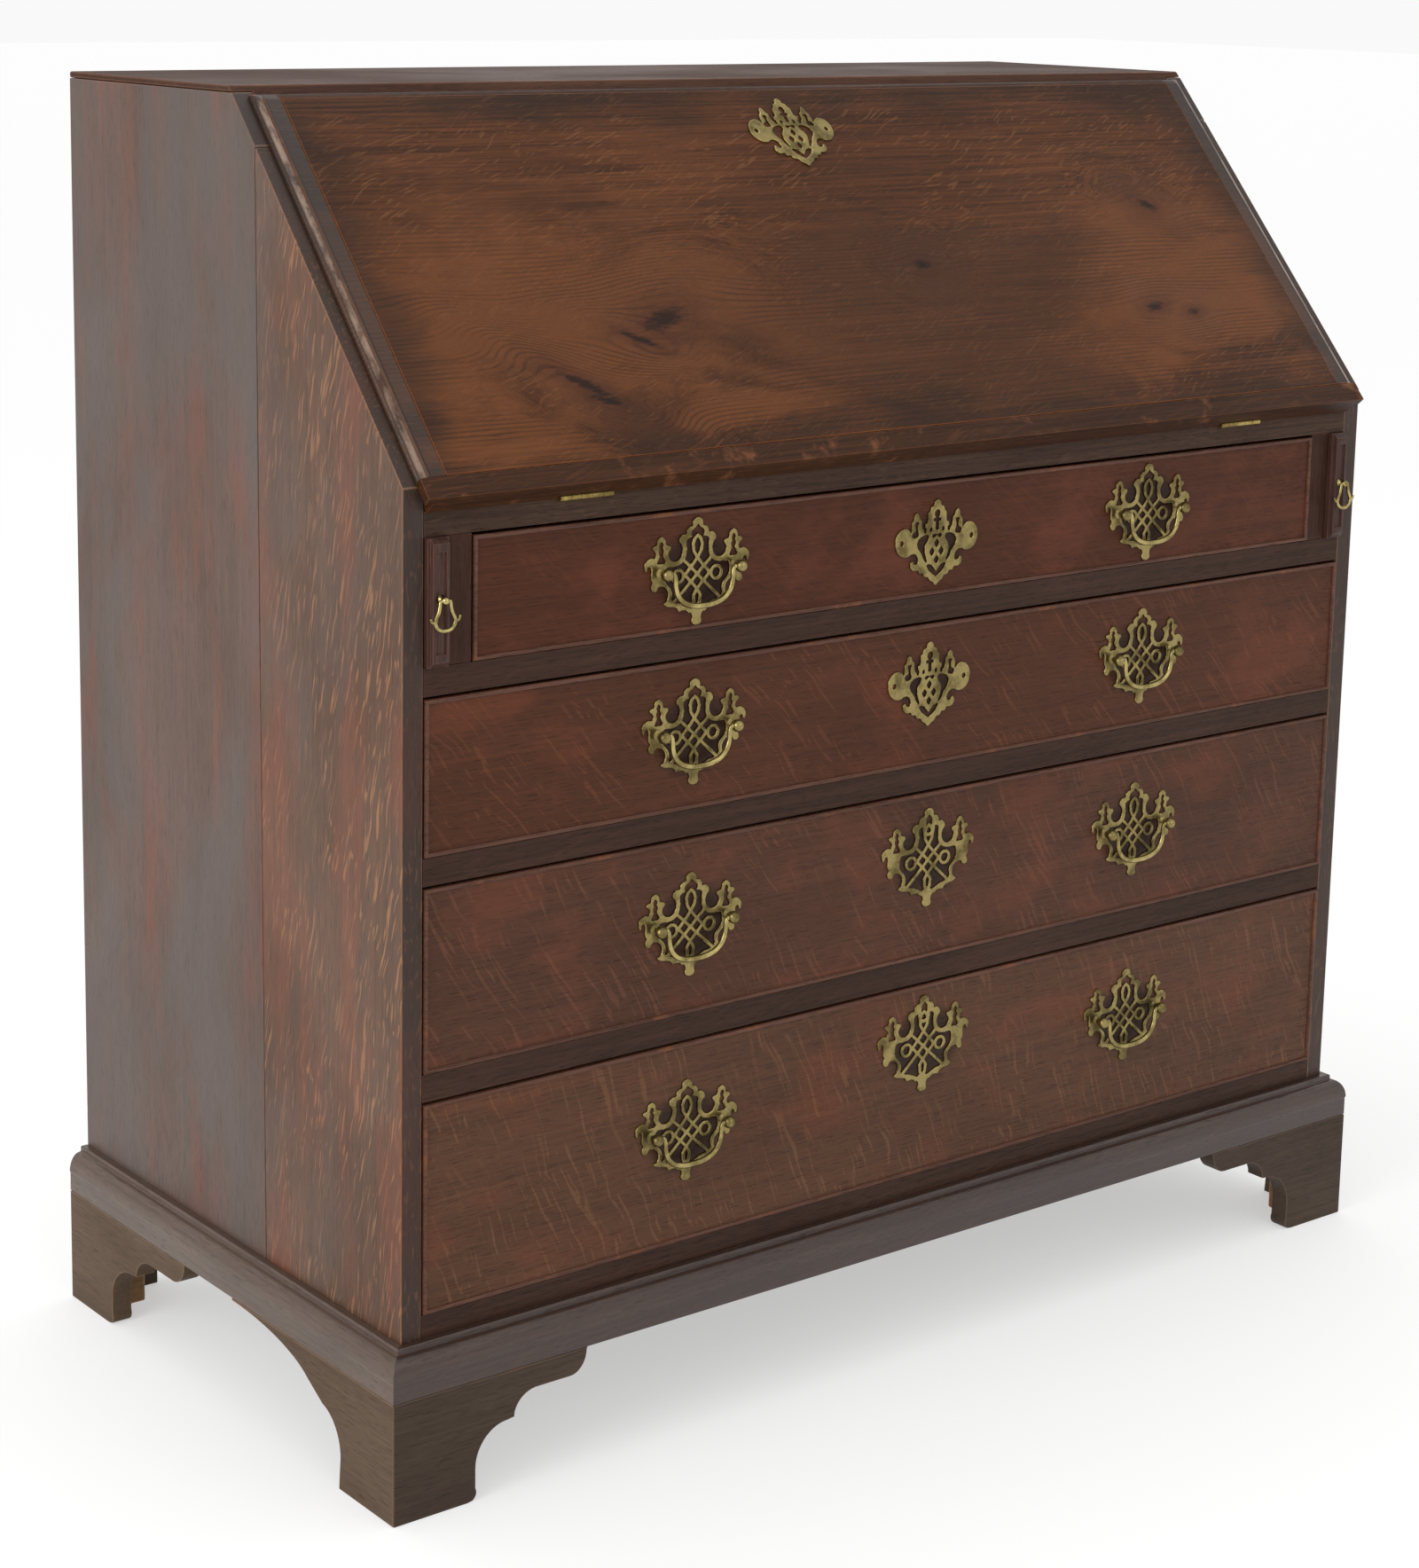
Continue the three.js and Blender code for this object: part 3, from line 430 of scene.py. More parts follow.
def run_of_moulding(corner, other, out, mitred, stations=40):
    """The section carried along a straight run. At a mitred end each point goes its own reach beyond
    the corner, and the outer face wavers by about a tenth of a millimetre."""
    section = moulding_section()
    corner, other, out = (np.array(v, float) for v in (corner, other, out))
    along = (other - corner) / np.linalg.norm(other - corner)
    length = np.linalg.norm(other - corner)
    share = np.linspace(0, 1, stations)[:, None]
    begin, finish = -mitred[0] * section[:, 0], length + mitred[1] * section[:, 0]
    travel = begin + (finish - begin) * share
    outer = (section[:, 0] > 0.007) * (section[:, 1] > moulding_low.z + 1e-4)
    waver = 0.00012 * np.sin(travel * 41) * outer
    points = (corner + travel[..., None] * along + (section[:, 0] - np.abs(waver))[..., None] * out
              + section[:, 1][:, None] * np.array([0, 0, 1]))
    count = len(section)
    here = np.arange(stations - 1)[:, None] * count + np.arange(count)
    there = np.arange(stations - 1)[:, None] * count + np.roll(np.arange(count), -1)
    skin = np.stack([here, here + count, there + count, there], -1).reshape(-1, 4)
    ends = [list(range(count)), list(range((stations - 1) * count, stations * count))[::-1]]
    faces = skin.tolist() + ends
    if np.dot(np.cross(along, out), (0, 0, 1)) > 0:
        faces = [face[::-1] for face in faces]
    return points.reshape(-1, 3).tolist(), [], faces


front_left, front_right = (-half_case, front_plane, 0), (half_case, front_plane, 0)
rear_left, rear_right = (-half_case, moulding_high.y, 0), (half_case, moulding_high.y, 0)
for run, start, stop, out, mitred, wood in (
        ("base_front", front_left, front_right, (0, -1, 0), (1, 1), base_oak),
        ("base_left", front_left, rear_left, (-1, 0, 0), (1, 0), base_side_painted_lit_oak),
        ("base_right", rear_right, front_right, (1, 0, 0), (0, 1), base_side_painted_lit_oak)):
    finished(run, run_of_moulding(start, stop, out, mitred), wood[:1], "carcass", 0.0004,
             ("base_moulding",), sharp=28)

# ---------------------------------------------------------------- bracket feet
# Each foot is two sawn brackets mitred at the corner with a glue block behind them. The front
# ones are cusped in front and arched at the side; the rear ones are cusped at the side.
foot_high = moulding_low.z - 0.0003
foot_thick, toe, shank = 0.018, 0.066, 0.073
foot_edge = (moulding_high.x - 0.0005, front_plane - moulding_reach + 0.0005, moulding_high.y)


def sweep_arc(middle, radii, start, stop, count=14):
    """Points on an ellipse about middle from one angle to another, in degrees."""
    turn = np.radians(np.linspace(start, stop, count))
    return np.stack([middle[0] + radii[0] * np.cos(turn), middle[1] + radii[1] * np.sin(turn)], 1).tolist()


def cusped(length):
    """Toe, hollow shank, quarter round, cusp, hollow, second round, and the top edge."""
    stretch = length - shank
    cusp = shank + stretch * 0.32
    return ([(0, 0), (toe, 0)] + sweep_arc((toe + 0.001, 0.007), (shank - toe, 0.007), -60, 30, 6)
            + sweep_arc((cusp - 0.004, 0.026), (cusp - 0.004 - shank, 0.031), 180, 90)
            + [(cusp, foot_high * 0.6)]
            + sweep_arc((cusp + stretch * 0.22, foot_high * 0.6),
                        (stretch * 0.2, foot_high * 0.195), 180, 90)
            + sweep_arc((length - stretch * 0.16, foot_high * 0.985),
                        (stretch * 0.15, foot_high * 0.19), -90, 0)
            + [(length, foot_high), (0, foot_high)])


def arched(length):
    """Toe, shank and one long rise to the top edge."""
    rise = foot_high - 0.002
    return ([(0, 0), (toe + 0.010, 0)] + sweep_arc((shank + 0.032, 0.026), (0.031, 0.034), 190, 100)
            + sweep_arc((length, foot_high * 0.62),
                        (length - shank - 0.040, rise - foot_high * 0.62), 158, 90, 20)
            + [(length, foot_high), (0, foot_high)])


def bracket(outline, corner, run, inward):
    """The outline set off from a corner along run, with its back face one thickness inward and
    mitred: only the points at the corner itself move along with the thickness."""
    outline = np.array(outline)
    corner, run, inward = (np.array(v, float) for v in (corner, run, inward))
    back_u = np.where(outline[:, 0] < 1e-6, foot_thick, outline[:, 0])
    up = outline[:, 1][:, None] * np.array([0, 0, 1])
    face = corner + outline[:, 0][:, None] * run + up
    back = corner + back_u[:, None] * run + foot_thick * inward + up
    count = len(outline)
    here, there = np.arange(count), np.roll(np.arange(count), -1)
    faces = np.stack([here, there, there + count, here + count], 1).tolist()
    faces += [list(range(count))[::-1], list(range(count, 2 * count))]
    if np.dot(np.cross(run, (0, 0, 1)), inward) > 0:
        faces = [face_[::-1] for face_ in faces]
    return np.concatenate([face, back]).tolist(), [], faces


foot_oak = edged("foot_oak", GRAIN_ACROSS, tone(52, 42, 35), tone(80, 66, 55), tone(92, 76, 62), rays=0.1,
                 seed=8.3, gloss=0.5, figure=0.6)
# The side brackets take the same oak painted lighter: painted light, the window's light on the sides.
foot_side_painted_lit_oak = edged("foot_side_painted_lit_oak", GRAIN_BACK, tone(71, 57, 45), tone(104, 85, 67), tone(118, 96, 75),
                      rays=0.1, seed=8.8, gloss=0.5, figure=0.6)
for word, hand in (("left", -1), ("right", 1)):
    for end in ("front", "rear"):
        node = f"{end}_{word}_foot"
        corner_y = foot_edge[1] if end == "front" else foot_edge[2]
        inward = 1 if end == "front" else -1
        corner = (hand * foot_edge[0], corner_y, 0)
        side = arched(0.235) if end == "front" else cusped(0.197)
        plain = [(0, 0), (shank, 0), (shank, foot_high * 0.4), (shank + 0.060, foot_high), (0, foot_high)]
        face = cusped(0.176) if end == "front" else plain
        finished(f"{node}_face", bracket(face, corner, (-hand, 0, 0), (0, inward, 0)), foot_oak, "carcass",
                 0.0011, (node,), sharp=40)
        finished(f"{node}_side", bracket(side, corner, (0, inward, 0), (-hand, 0, 0)), foot_side_painted_lit_oak,
                 "carcass", 0.0011, (node,), sharp=40)
        block_x = sorted((hand * (foot_edge[0] - foot_thick - 0.0003), hand * (foot_edge[0] - 0.046)))
        block_y = sorted((corner_y + inward * (foot_thick + 0.0003), corner_y + inward * 0.046))
        block = [(block_x[0], block_y[0]), (block_x[1], block_y[0]), (block_x[1], block_y[1]),
                 (block_x[0], block_y[1])]
        finished(f"{node}_block", prism(block, 0.0004, foot_high, 2), inner_oak, "carcass",
                 0.002, (node,))

# ---------------------------------------------------------------- fall
# One wide flat-sawn panel between two clamps, over a plain strip along the bottom. An ovolo and a
# step are worked round the lip. Knots lie low in the panel and hands have darkened its rim.
fall_slope = math.radians(48.55)
slope_turn = (-fall_slope, 0, 0)
slope_foot = front_plane * math.cos(fall_slope) + 0.77097 * math.sin(fall_slope)
fall_high = 0.3473


def fall_shade(f, place, colour, drawn):
    """Growth lines that part round the knots, a glow below the middle, a dark patch high up
    near the middle and a rim darkened by hands."""
    spot = f.parts(place)
    up = f.sum("SUBTRACT", spot["Y"], slope_foot)
    cloudy = f.noise(place, (7, 16, 9), 4, 0.6, 0.5)
    lift = f.sum("MULTIPLY_ADD", cloudy, 0.30, -0.15)
    height = f.sum("ADD", up, lift)
    glow = f.sum("MULTIPLY", f.rise(height, 0.27, 0.15), f.rise(height, 0.01, 0.07))
    west = f.rise(f.sum("ADD", spot["X"], lift), 0.02, -0.16, 0.25, 1.0)
    east = f.rise(f.sum("ADD", spot["X"], lift), 0.10, 0.32)
    share = f.sum("MULTIPLY", glow, f.sum("MULTIPLY", f.sum("MAXIMUM", west, east), 0.75))
    colour = f.blend(share, colour, tone(104, 61, 33))
    waves = f.sum("MULTIPLY", f.noise(place, (2.6, 13, 9), 3, 0.5), 26.0)
    growth = f.sum("SINE", f.sum("MULTIPLY_ADD", f.parts(drawn)["Y"], 1500.0, waves))
    low = f.rise(up, 0.26, 0.14, 0.45, 1.0)
    broken = f.rise(f.noise(place, (9, 30, 20), 3), 0.36, 0.6)
    colour = f.blend(f.sum("MULTIPLY", f.sum("MULTIPLY", f.rise(growth, 0.0, 1.0), broken),
                           f.sum("MULTIPLY", low, 0.5)), colour, tone(44, 25, 15))
    side = f.sum("SUBTRACT", 0.478, f.sum("ABSOLUTE", spot["X"]))
    ends = f.sum("MINIMUM", f.sum("SUBTRACT", fall_high, up), f.sum("ADD", up, 0.018))
    inside = f.sum("MINIMUM", side, ends)
    off_middle = f.sum("ADD", f.sum("ABSOLUTE", f.sum("SUBTRACT", spot["X"], 0.05)), lift)
    sunk = f.sum("MULTIPLY", f.rise(off_middle, 0.26, 0.08), f.rise(height, 0.26, 0.16))
    colour = f.blend(f.sum("MULTIPLY", sunk, 0.5), colour, tone(54, 33, 20))
    rim = f.rise(f.sum("ADD", inside, f.sum("MULTIPLY", lift, 0.45)), 0.055, 0.0)
    return f.blend(f.sum("MULTIPLY", rim, 0.62), colour, tone(34, 25, 19))


fall_spots = [((x, slope_foot + up), size, tilt) for x, up, size, tilt in (
    (-0.218, 0.121, (0.027, 0.0105), 0.30), (-0.250, 0.104, (0.020, 0.0042), -0.45),
    (-0.318, 0.068, (0.030, 0.0050), -0.62), (-0.304, 0.052, (0.016, 0.0040), -0.3),
    (0.066, 0.156, (0.009, 0.0060), 0.0), (0.359, 0.205, (0.011, 0.0045), -0.5),
    (0.302, 0.098, (0.013, 0.0050), 0.2), (0.345, 0.090, (0.010, 0.0035), 0.2))]
fall_tones = dict(dark=tone(54, 29, 14), light=tone(96, 55, 28), ray=tone(116, 75, 44))
panel_oak = edged("fall_panel_oak", slope_turn, rays=0.5, ray_turn=0.42, ray_size=(46, 520),
                  gloss=0.34, figure=1.6, spots=fall_spots, shade=fall_shade, **fall_tones)


def clamp_shade(f, place, colour, drawn):
    """The fall's colouring, with the ovolo painted pale, partly as wear and partly as a painted highlight,
    and its quirk darkened as painted shade.
    """
    colour = fall_shade(f, place, colour, drawn)
    reach = f.sum("ABSOLUTE", f.parts(place)["X"])
    # Painted highlight and wear: a pale, patchy band along the ovolo.
    patches = f.rise(f.noise(place, (60, 22, 60), 4, 0.65), 0.36, 0.58)
    band = f.sum("MULTIPLY", f.rise(reach, 0.4838, 0.4852), f.rise(reach, 0.4905, 0.4890))
    colour = f.blend(f.sum("MULTIPLY", f.sum("MULTIPLY", band, patches), 0.75), colour, tone(146, 122, 106))
    # Painted shade: a dark line in the quirk beside the step.
    quirk = f.sum("MULTIPLY", f.rise(reach, 0.4815, 0.4828), f.rise(reach, 0.4844, 0.4836))
    return f.blend(f.sum("MULTIPLY", quirk, 0.8), colour, tone(22, 16, 13))


clamp_oak = edged("fall_clamp_oak", slope_turn, dark=tone(44, 26, 15), light=tone(72, 44, 26),
                  ray=tone(90, 59, 38), rays=0.15, gloss=0.26, polish=0.3, shade=clamp_shade)
strip_oak = edged("fall_strip_oak", slope_turn, dark=tone(39, 22, 13), light=tone(73, 43, 23),
                  ray=tone(107, 66, 35), rays=0.2, seed=9.5, gloss=0.38, wear=0.16)
board("fall_field", "fall_panel", panel_oak, "fall", 0.0008)
board("fall_clamp_left", "fall_left_clamp", clamp_oak, "fall", 0.0008)
board("fall_clamp_right", "fall_right_clamp", clamp_oak, "fall", 0.0008)
board("fall_strip", "fall_bottom_strip", strip_oak, "fall", 0.0022)

# ---------------------------------------------------------------- lopers
# Square bars that carry the open fall. Each end has a bevelled frame round a sunk field.
loper_oak = edged("loper_oak", GRAIN_UP, tone(50, 33, 29), tone(82, 54, 45), tone(100, 68, 56), rays=0.2,
                  seed=10.4, gloss=0.32, polish=0.2)
loper_proud = 0.00805
for word in ("left", "right"):
    board(f"{word}_loper_bar", f"{word}_loper", loper_oak, f"{word}_loper", 0.0006,
          cuts=[((0, front_plane - loper_proud, 0), (0, -1, 0))])

# ---------------------------------------------------------------- drawers
# Quarter-sawn fronts with slanting rays, lapped and dovetailed to plain boxes. A cock bead, a
# slim half-round strip, is pinned round the edge of each front and stands a little proud.
drawer_tones = {
    1: dict(dark=tone(57, 29, 17), light=tone(83, 44, 26), ray=tone(102, 56, 34), rays=0.16),
    2: dict(dark=tone(60, 33, 20), light=tone(86, 49, 31), ray=tone(115, 69, 44), rays=0.30),
    3: dict(dark=tone(60, 38, 27), light=tone(87, 55, 40), ray=tone(118, 75, 54), rays=0.32),
    4: dict(dark=tone(65, 43, 31), light=tone(95, 63, 44), ray=tone(124, 86, 59), rays=0.34),
}
bead_oak = edged("bead_oak", GRAIN_ACROSS, tone(68, 45, 37), tone(104, 72, 59), tone(120, 87, 70), rays=0.1,
                 seed=11.9, gloss=0.30, wear=0.2)
bead_wide, bead_proud, bead_sunk = 0.0032, 0.0020, 0.0008
soil_share = 0.36  # how far the dark reaches from a plate's middle, as a share of its size


def bead_frame(low, high):
    """A half-round section carried round the rectangle between two corners, mitred at each corner:
    every point of the section keeps its own distance in from the edge."""
    turn = np.linspace(0, math.pi, 9)
    width = np.concatenate([[0], bead_wide * (1 - np.cos(turn)) / 2, [bead_wide]])
    proud = np.concatenate([[-bead_sunk], bead_proud * (0.35 + 0.65 * np.sin(turn)), [-bead_sunk]])
    corners = np.array([(-1, -1), (1, -1), (1, 1), (-1, 1)], float)
    middle, half = (low + high) / 2, (high - low) / 2
    points = np.zeros((4, len(width), 3))
    points[..., 0] = middle.x + corners[:, :1] * (half.x - width)
    points[..., 1] = low.y - proud
    points[..., 2] = middle.z + corners[:, 1:] * (half.z - width)
    count = len(width)
    ring, along = np.meshgrid(np.arange(4), np.arange(count), indexing="ij")
    after, beyond = (ring + 1) % 4, (along + 1) % count
    faces = np.stack([ring * count + along, after * count + along, after * count + beyond,
                      ring * count + beyond], -1).reshape(-1, 4)
    return points.reshape(-1, 3).tolist(), [], faces.tolist()


for number, tones in drawer_tones.items():
    body = f"drawer_{number}"
    plates = [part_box(f"drawer_{number}_{place}_plate") for place in ("left", "centre", "right")]
    soil = [(tuple((low + high) / 2), tuple(soil_share * (high - low))) for low, high in plates]
    front_oak_n = edged(f"drawer_{number}_oak", GRAIN_ACROSS, ray_turn=-0.55 - 0.16 * number,
                        ray_size=(15, 330), seed=12.0 + 2.3 * number, gloss=0.34, polish=0.12,
                        figure=0.6, warm=0.28, soil=soil, **tones)
    board(f"drawer_{number}_face", f"drawer_{number}_front", front_oak_n, body, 0.0005)
    low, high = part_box(f"drawer_{number}_front")
    finished(f"drawer_{number}_bead", bead_frame(low, high), bead_oak, body, 0, sharp=60)
    board(f"drawer_{number}_case", f"drawer_{number}_box", inner_oak, body, 0.0006)

# ---------------------------------------------------------------- pierced brass plates
# Cast plates filed to shape and pinned to the wood: eight behind the handles, two of the same kind
# without a handle on the lower drawers, and escutcheons on the fall and the upper drawers.
def brass(name, bright, dull, rough, grime=0.5):
    """Old lacquered brass: warm metal with dull olive clouds and a fine grain in its roughness."""
    f = Finish(name)
    cloud = f.noise(f.object_place, (60, 60, 60), 4, 0.6)
    fine = f.noise(f.object_place, (900, 900, 900), 2)
    colour = f.blend(f.rise(cloud, 0.38, 0.66), bright, dull)
    colour = f.blend(f.sum("MULTIPLY", f.rise(fine, 0.5, 0.75), grime), colour, tone(70, 58, 30))
    f.feed(f.surface.inputs["Base Color"], colour)
    f.surface.inputs["Metallic"].default_value = 1.0
    f.feed(f.surface.inputs["Roughness"], f.rise(cloud, 0.3, 0.7, rough, rough + 0.16))
    f.relief(fine, 0.00006)
    return f.material


plate_brass = brass("plate_brass", tone(152, 136, 88), tone(98, 86, 52), 0.26)
bail_brass = brass("bail_brass", tone(180, 164, 108), tone(122, 108, 66), 0.17, 0.25)
plate_back, plate_thick, plate_round = 0.0003, 0.0014, 0.0006
fret_step = 0.00055


def smooth_loop(points, per_span=5):
    """A closed line through all the points: a Catmull-Rom curve, cubic between each pair."""
    p = np.array(points, float)
    before, after, later = np.roll(p, 1, 0), np.roll(p, -1, 0), np.roll(p, -2, 0)
    t = (np.arange(per_span) / per_span)[:, None, None]
    curve = 0.5 * (2 * p + (after - before) * t + (2 * before - 5 * p + 4 * after - later) * t ** 2
                   + (3 * p - before - 3 * after + later) * t ** 3)
    return curve.transpose(1, 0, 2).reshape(-1, 2)


def mirrored(half):
    """Right-hand half of a loop, from the top round to the bottom, made whole."""
    return list(half) + [(-x, z) for x, z in reversed(half) if x > 0]


def line_distance(at, line):
    """Shortest distance from each place to a line of straight spans."""
    start, span = line[:-1], np.diff(line, axis=0)
    best = np.full(at.shape[:-1], np.inf)
    for origin, reach in zip(start, span):
        share = np.clip(((at - origin) @ reach) / max(reach @ reach, 1e-12), 0, 1)
        best = np.minimum(best, np.linalg.norm(at - origin - share[..., None] * reach, axis=-1))
    return best


def inside_distance(at, loop):
    """Distance to a closed loop, below zero inside it, by counting how often a ray crosses it."""
    closed = np.concatenate([loop, loop[:1]])
    distance = line_distance(at, closed)
    a, b = closed[:-1], closed[1:]
    x, z = at[..., 0, None], at[..., 1, None]
    rise = np.where(np.abs(b[:, 1] - a[:, 1]) < 1e-12, 1e-12, b[:, 1] - a[:, 1])
    crosses = ((a[:, 1] > z) != (b[:, 1] > z)) & (x < (b[:, 0] - a[:, 0]) * (z - a[:, 1]) / rise + a[:, 0])
    return np.where(crosses.sum(-1) % 2 == 1, -distance, distance)


handle_rim = mirrored([
    (0, 41.5), (3.4, 40.2), (4.9, 37.4), (5.0, 35.2), (8.2, 34.4), (10.4, 31.6), (10.6, 29.4), (14.4, 29.2),
    (17.0, 26.6), (17.6, 23.6), (16.8, 22.8), (15.2, 21.0), (14.2, 17.6), (15.0, 13.4), (17.6, 10.4),
    (21.4, 9.4), (25.2, 10.8), (27.6, 14.2), (27.2, 17.0), (25.4, 19.4), (25.6, 21.6), (28.4, 22.4),
    (30.2, 23.4), (30.6, 26.2), (32.4, 28.6), (34.8, 29.4), (37.2, 28.0), (38.4, 25.2), (38.6, 23.4),
    (41.8, 22.6), (42.8, 20.4), (40.2, 18.0), (39.4, 15.6), (40.8, 13.6), (44.2, 14.0), (47.8, 12.4),
    (50.0, 8.8), (49.6, 5.0), (48.6, 3.4), (47.4, 4.6), (46.4, 7.0), (44.4, 6.6), (43.6, 4.0), (43.8, 0.2),
    (43.4, -3.2), (42.0, -5.0), (43.2, -7.4), (43.4, -10.2), (41.2, -12.2), (38.4, -11.6), (37.2, -9.4),
    (34.8, -8.4), (31.4, -9.2), (28.4, -11.8), (27.2, -15.6), (28.2, -19.6), (31.4, -22.2), (28.4, -24.6),
    (23.6, -25.4), (19.4, -26.6), (17.0, -29.4), (14.4, -29.0), (10.6, -29.4), (7.6, -31.6), (6.4, -31.4),
    (4.6, -33.0), (4.0, -35.6), (4.8, -38.6), (3.0, -41.0), (0, -41.5)])
handle_window = mirrored([
    (0, 35.6), (2.4, 33.4), (5.6, 31.2), (6.4, 28.6), (5.4, 26.6), (8.6, 25.6), (10.8, 23.6), (10.4, 19.6),
    (10.6, 14.0), (12.4, 9.6), (16.6, 6.2), (22.0, 5.2), (28.4, 5.2), (30.6, 2.8), (30.8, -3.6),
    (28.4, -7.4), (25.2, -10.6), (23.6, -15.2), (24.2, -19.6), (20.6, -22.4), (15.0, -23.6), (10.0, -25.6),
    (5.0, -27.4), (0, -24.6)])
spire_slot = [
    (34.6, 25.4), (36.4, 22.8), (35.8, 20.4), (36.8, 17.8), (35.8, 14.8), (37.0, 12.2), (38.0, 9.2),
    (34.2, 8.9), (30.6, 9.2), (31.8, 12.2), (32.8, 14.8), (32.0, 17.8), (33.2, 20.4), (32.6, 22.8)]
strand_width = 1.45


def strands():
    """Lines of the interlace for x above zero: the pointed oval that runs on into a diagonal, the
    diagonal from the crown's foot to the rim, the lower diagonal, and the ring that joins two."""
    oval = [(0, 27.4), (2.8, 25.0), (4.3, 20.6), (3.6, 15.6), (0, 10.4), (-6, 3.6), (-12.4, -2.4)]
    long_one = [(-14.0, 10.2), (-6, 3.4), (0, -2.2), (6, -7.8), (21.5, -21.6)]
    low_one = [(-12.4, -1.6), (-6, -7.6), (0, -13.6), (3.2, -18.4), (2.6, -24.4), (0, -27.4)]
    turn = np.linspace(0, 2 * math.pi, 25)
    ring = np.stack([-18.2 + 5.0 * np.cos(turn), -2.6 + 4.9 * np.sin(turn)], 1)
    return [np.array(oval), np.array(long_one), np.array(low_one), ring]


def handle_field(at, keyhole):
    """The rim less its windows, joined with the interlace; below zero where there is metal."""
    across_half = np.stack([np.abs(at[..., 0]), at[..., 1]], -1)
    rim = inside_distance(at, smooth_loop(handle_rim))
    window = inside_distance(at, smooth_loop(handle_window))
    slot = inside_distance(across_half, smooth_loop(spire_slot))
    solid = np.maximum(np.maximum(rim, -window), -slot)
    lace = np.full(rim.shape, np.inf)
    for line in strands():
        lace = np.minimum(lace, np.minimum(line_distance(at, line), line_distance(at * (-1, 1), line)))
    lace = np.maximum(lace - strand_width, rim)
    if keyhole:
        stem = np.array([(0, 33.0), (0, 24.0)])
        reach = line_distance(at, stem)
        solid = np.minimum(solid, np.maximum(reach - 6.4, -(reach - 3.2)))
        solid = np.maximum(solid, rim)
    return np.minimum(solid, lace)


lock_rim = mirrored([
    (0, 35.0), (3.0, 33.4), (3.8, 30.4), (6.6, 29.2), (7.6, 26.2), (9.6, 24.4), (9.8, 20.6), (10.2, 17.0),
    (12.6, 15.8), (12.8, 11.6), (15.0, 11.2), (16.6, 15.0), (17.0, 19.4), (19.0, 21.2), (20.0, 24.0),
    (22.0, 25.8), (24.0, 24.0), (24.8, 20.4), (26.8, 18.0), (27.2, 13.0), (27.6, 10.0), (30.0, 12.6),
    (34.0, 14.2), (39.4, 12.6), (43.2, 8.0), (44.0, 2.0), (42.0, -4.4), (37.2, -8.6), (31.2, -9.4),
    (27.2, -7.6), (23.6, -7.6), (20.6, -9.8), (19.4, -13.4), (20.8, -15.8), (23.6, -15.4), (25.4, -13.0),
    (27.4, -14.6), (27.2, -18.6), (24.0, -21.4), (19.4, -21.4), (17.6, -24.0), (14.0, -24.2), (12.4, -27.0),
    (8.6, -27.8), (6.4, -30.6), (3.0, -32.6), (0, -35.0)])
lock_windows = (
    [(11.2, 6.8), (15.4, 6.2), (19.4, 4.0), (21.0, 0.4), (19.6, -3.6), (16.2, -7.6), (14.2, -11.8),
     (11.4, -15.0), (10.0, -15.0), (11.4, -11.0), (12.8, -6.0), (12.2, -1.4), (9.6, 2.2), (8.4, 5.2)],
    [(19.6, 17.4), (21.8, 18.0), (24.0, 17.2), (23.0, 14.0), (23.2, 10.8), (26.2, 9.4), (26.0, 6.2),
     (22.4, 5.8), (19.4, 7.2), (20.4, 10.8), (20.8, 14.0)],
    [(11.6, 9.0), (13.8, 9.0), (13.8, 12.4), (11.6, 12.4)],
    [(5.6, 9.2), (7.6, 9.2), (7.6, 12.0), (5.6, 12.0)],
)
lock_base = mirrored([(0, -23.6), (4.6, -18.4), (8.4, -17.0), (10.6, -18.0), (8.2, -21.6), (4.2, -24.8),
                      (0, -27.4)])
lock_brow = mirrored([(0, 6.4), (3.4, 7.0), (5.6, 5.6), (3.4, 3.8), (0, 6.0)])


def lock_field(at):
    """The escutcheon's rim less a keyhole, its small windows and the cells of a lozenge lattice."""
    across_half = np.stack([np.abs(at[..., 0]), at[..., 1]], -1)
    solid = inside_distance(at, smooth_loop(lock_rim, 4))
    for window in lock_windows:
        solid = np.maximum(solid, -inside_distance(across_half, smooth_loop(window, 4)))
    for window in (lock_base, lock_brow):
        solid = np.maximum(solid, -inside_distance(at, np.array(window, float)))
    keyhole = np.minimum(np.hypot(at[..., 0], at[..., 1] - 23.4) - 3.0,
                         np.minimum(np.maximum(np.abs(at[..., 0]) - 1.7, np.abs(at[..., 1] - 16.6) - 6.2),
                                    np.maximum(np.abs(at[..., 0]) - 4.0, np.abs(at[..., 1] - 18.4) - 1.2)))
    solid = np.maximum(solid, -keyhole)
    for x, z in ((0, -0.6), (0, -13.8), (4.9, -7.2)):
        cell = np.abs(across_half[..., 0] - x) / 2.9 + np.abs(at[..., 1] - z) / 3.7 - 1
        solid = np.maximum(solid, -cell * 2.0)
    ear = np.hypot(across_half[..., 0] - 37.4, at[..., 1] - 2.4) - 2.0
    return np.maximum(solid, -ear)


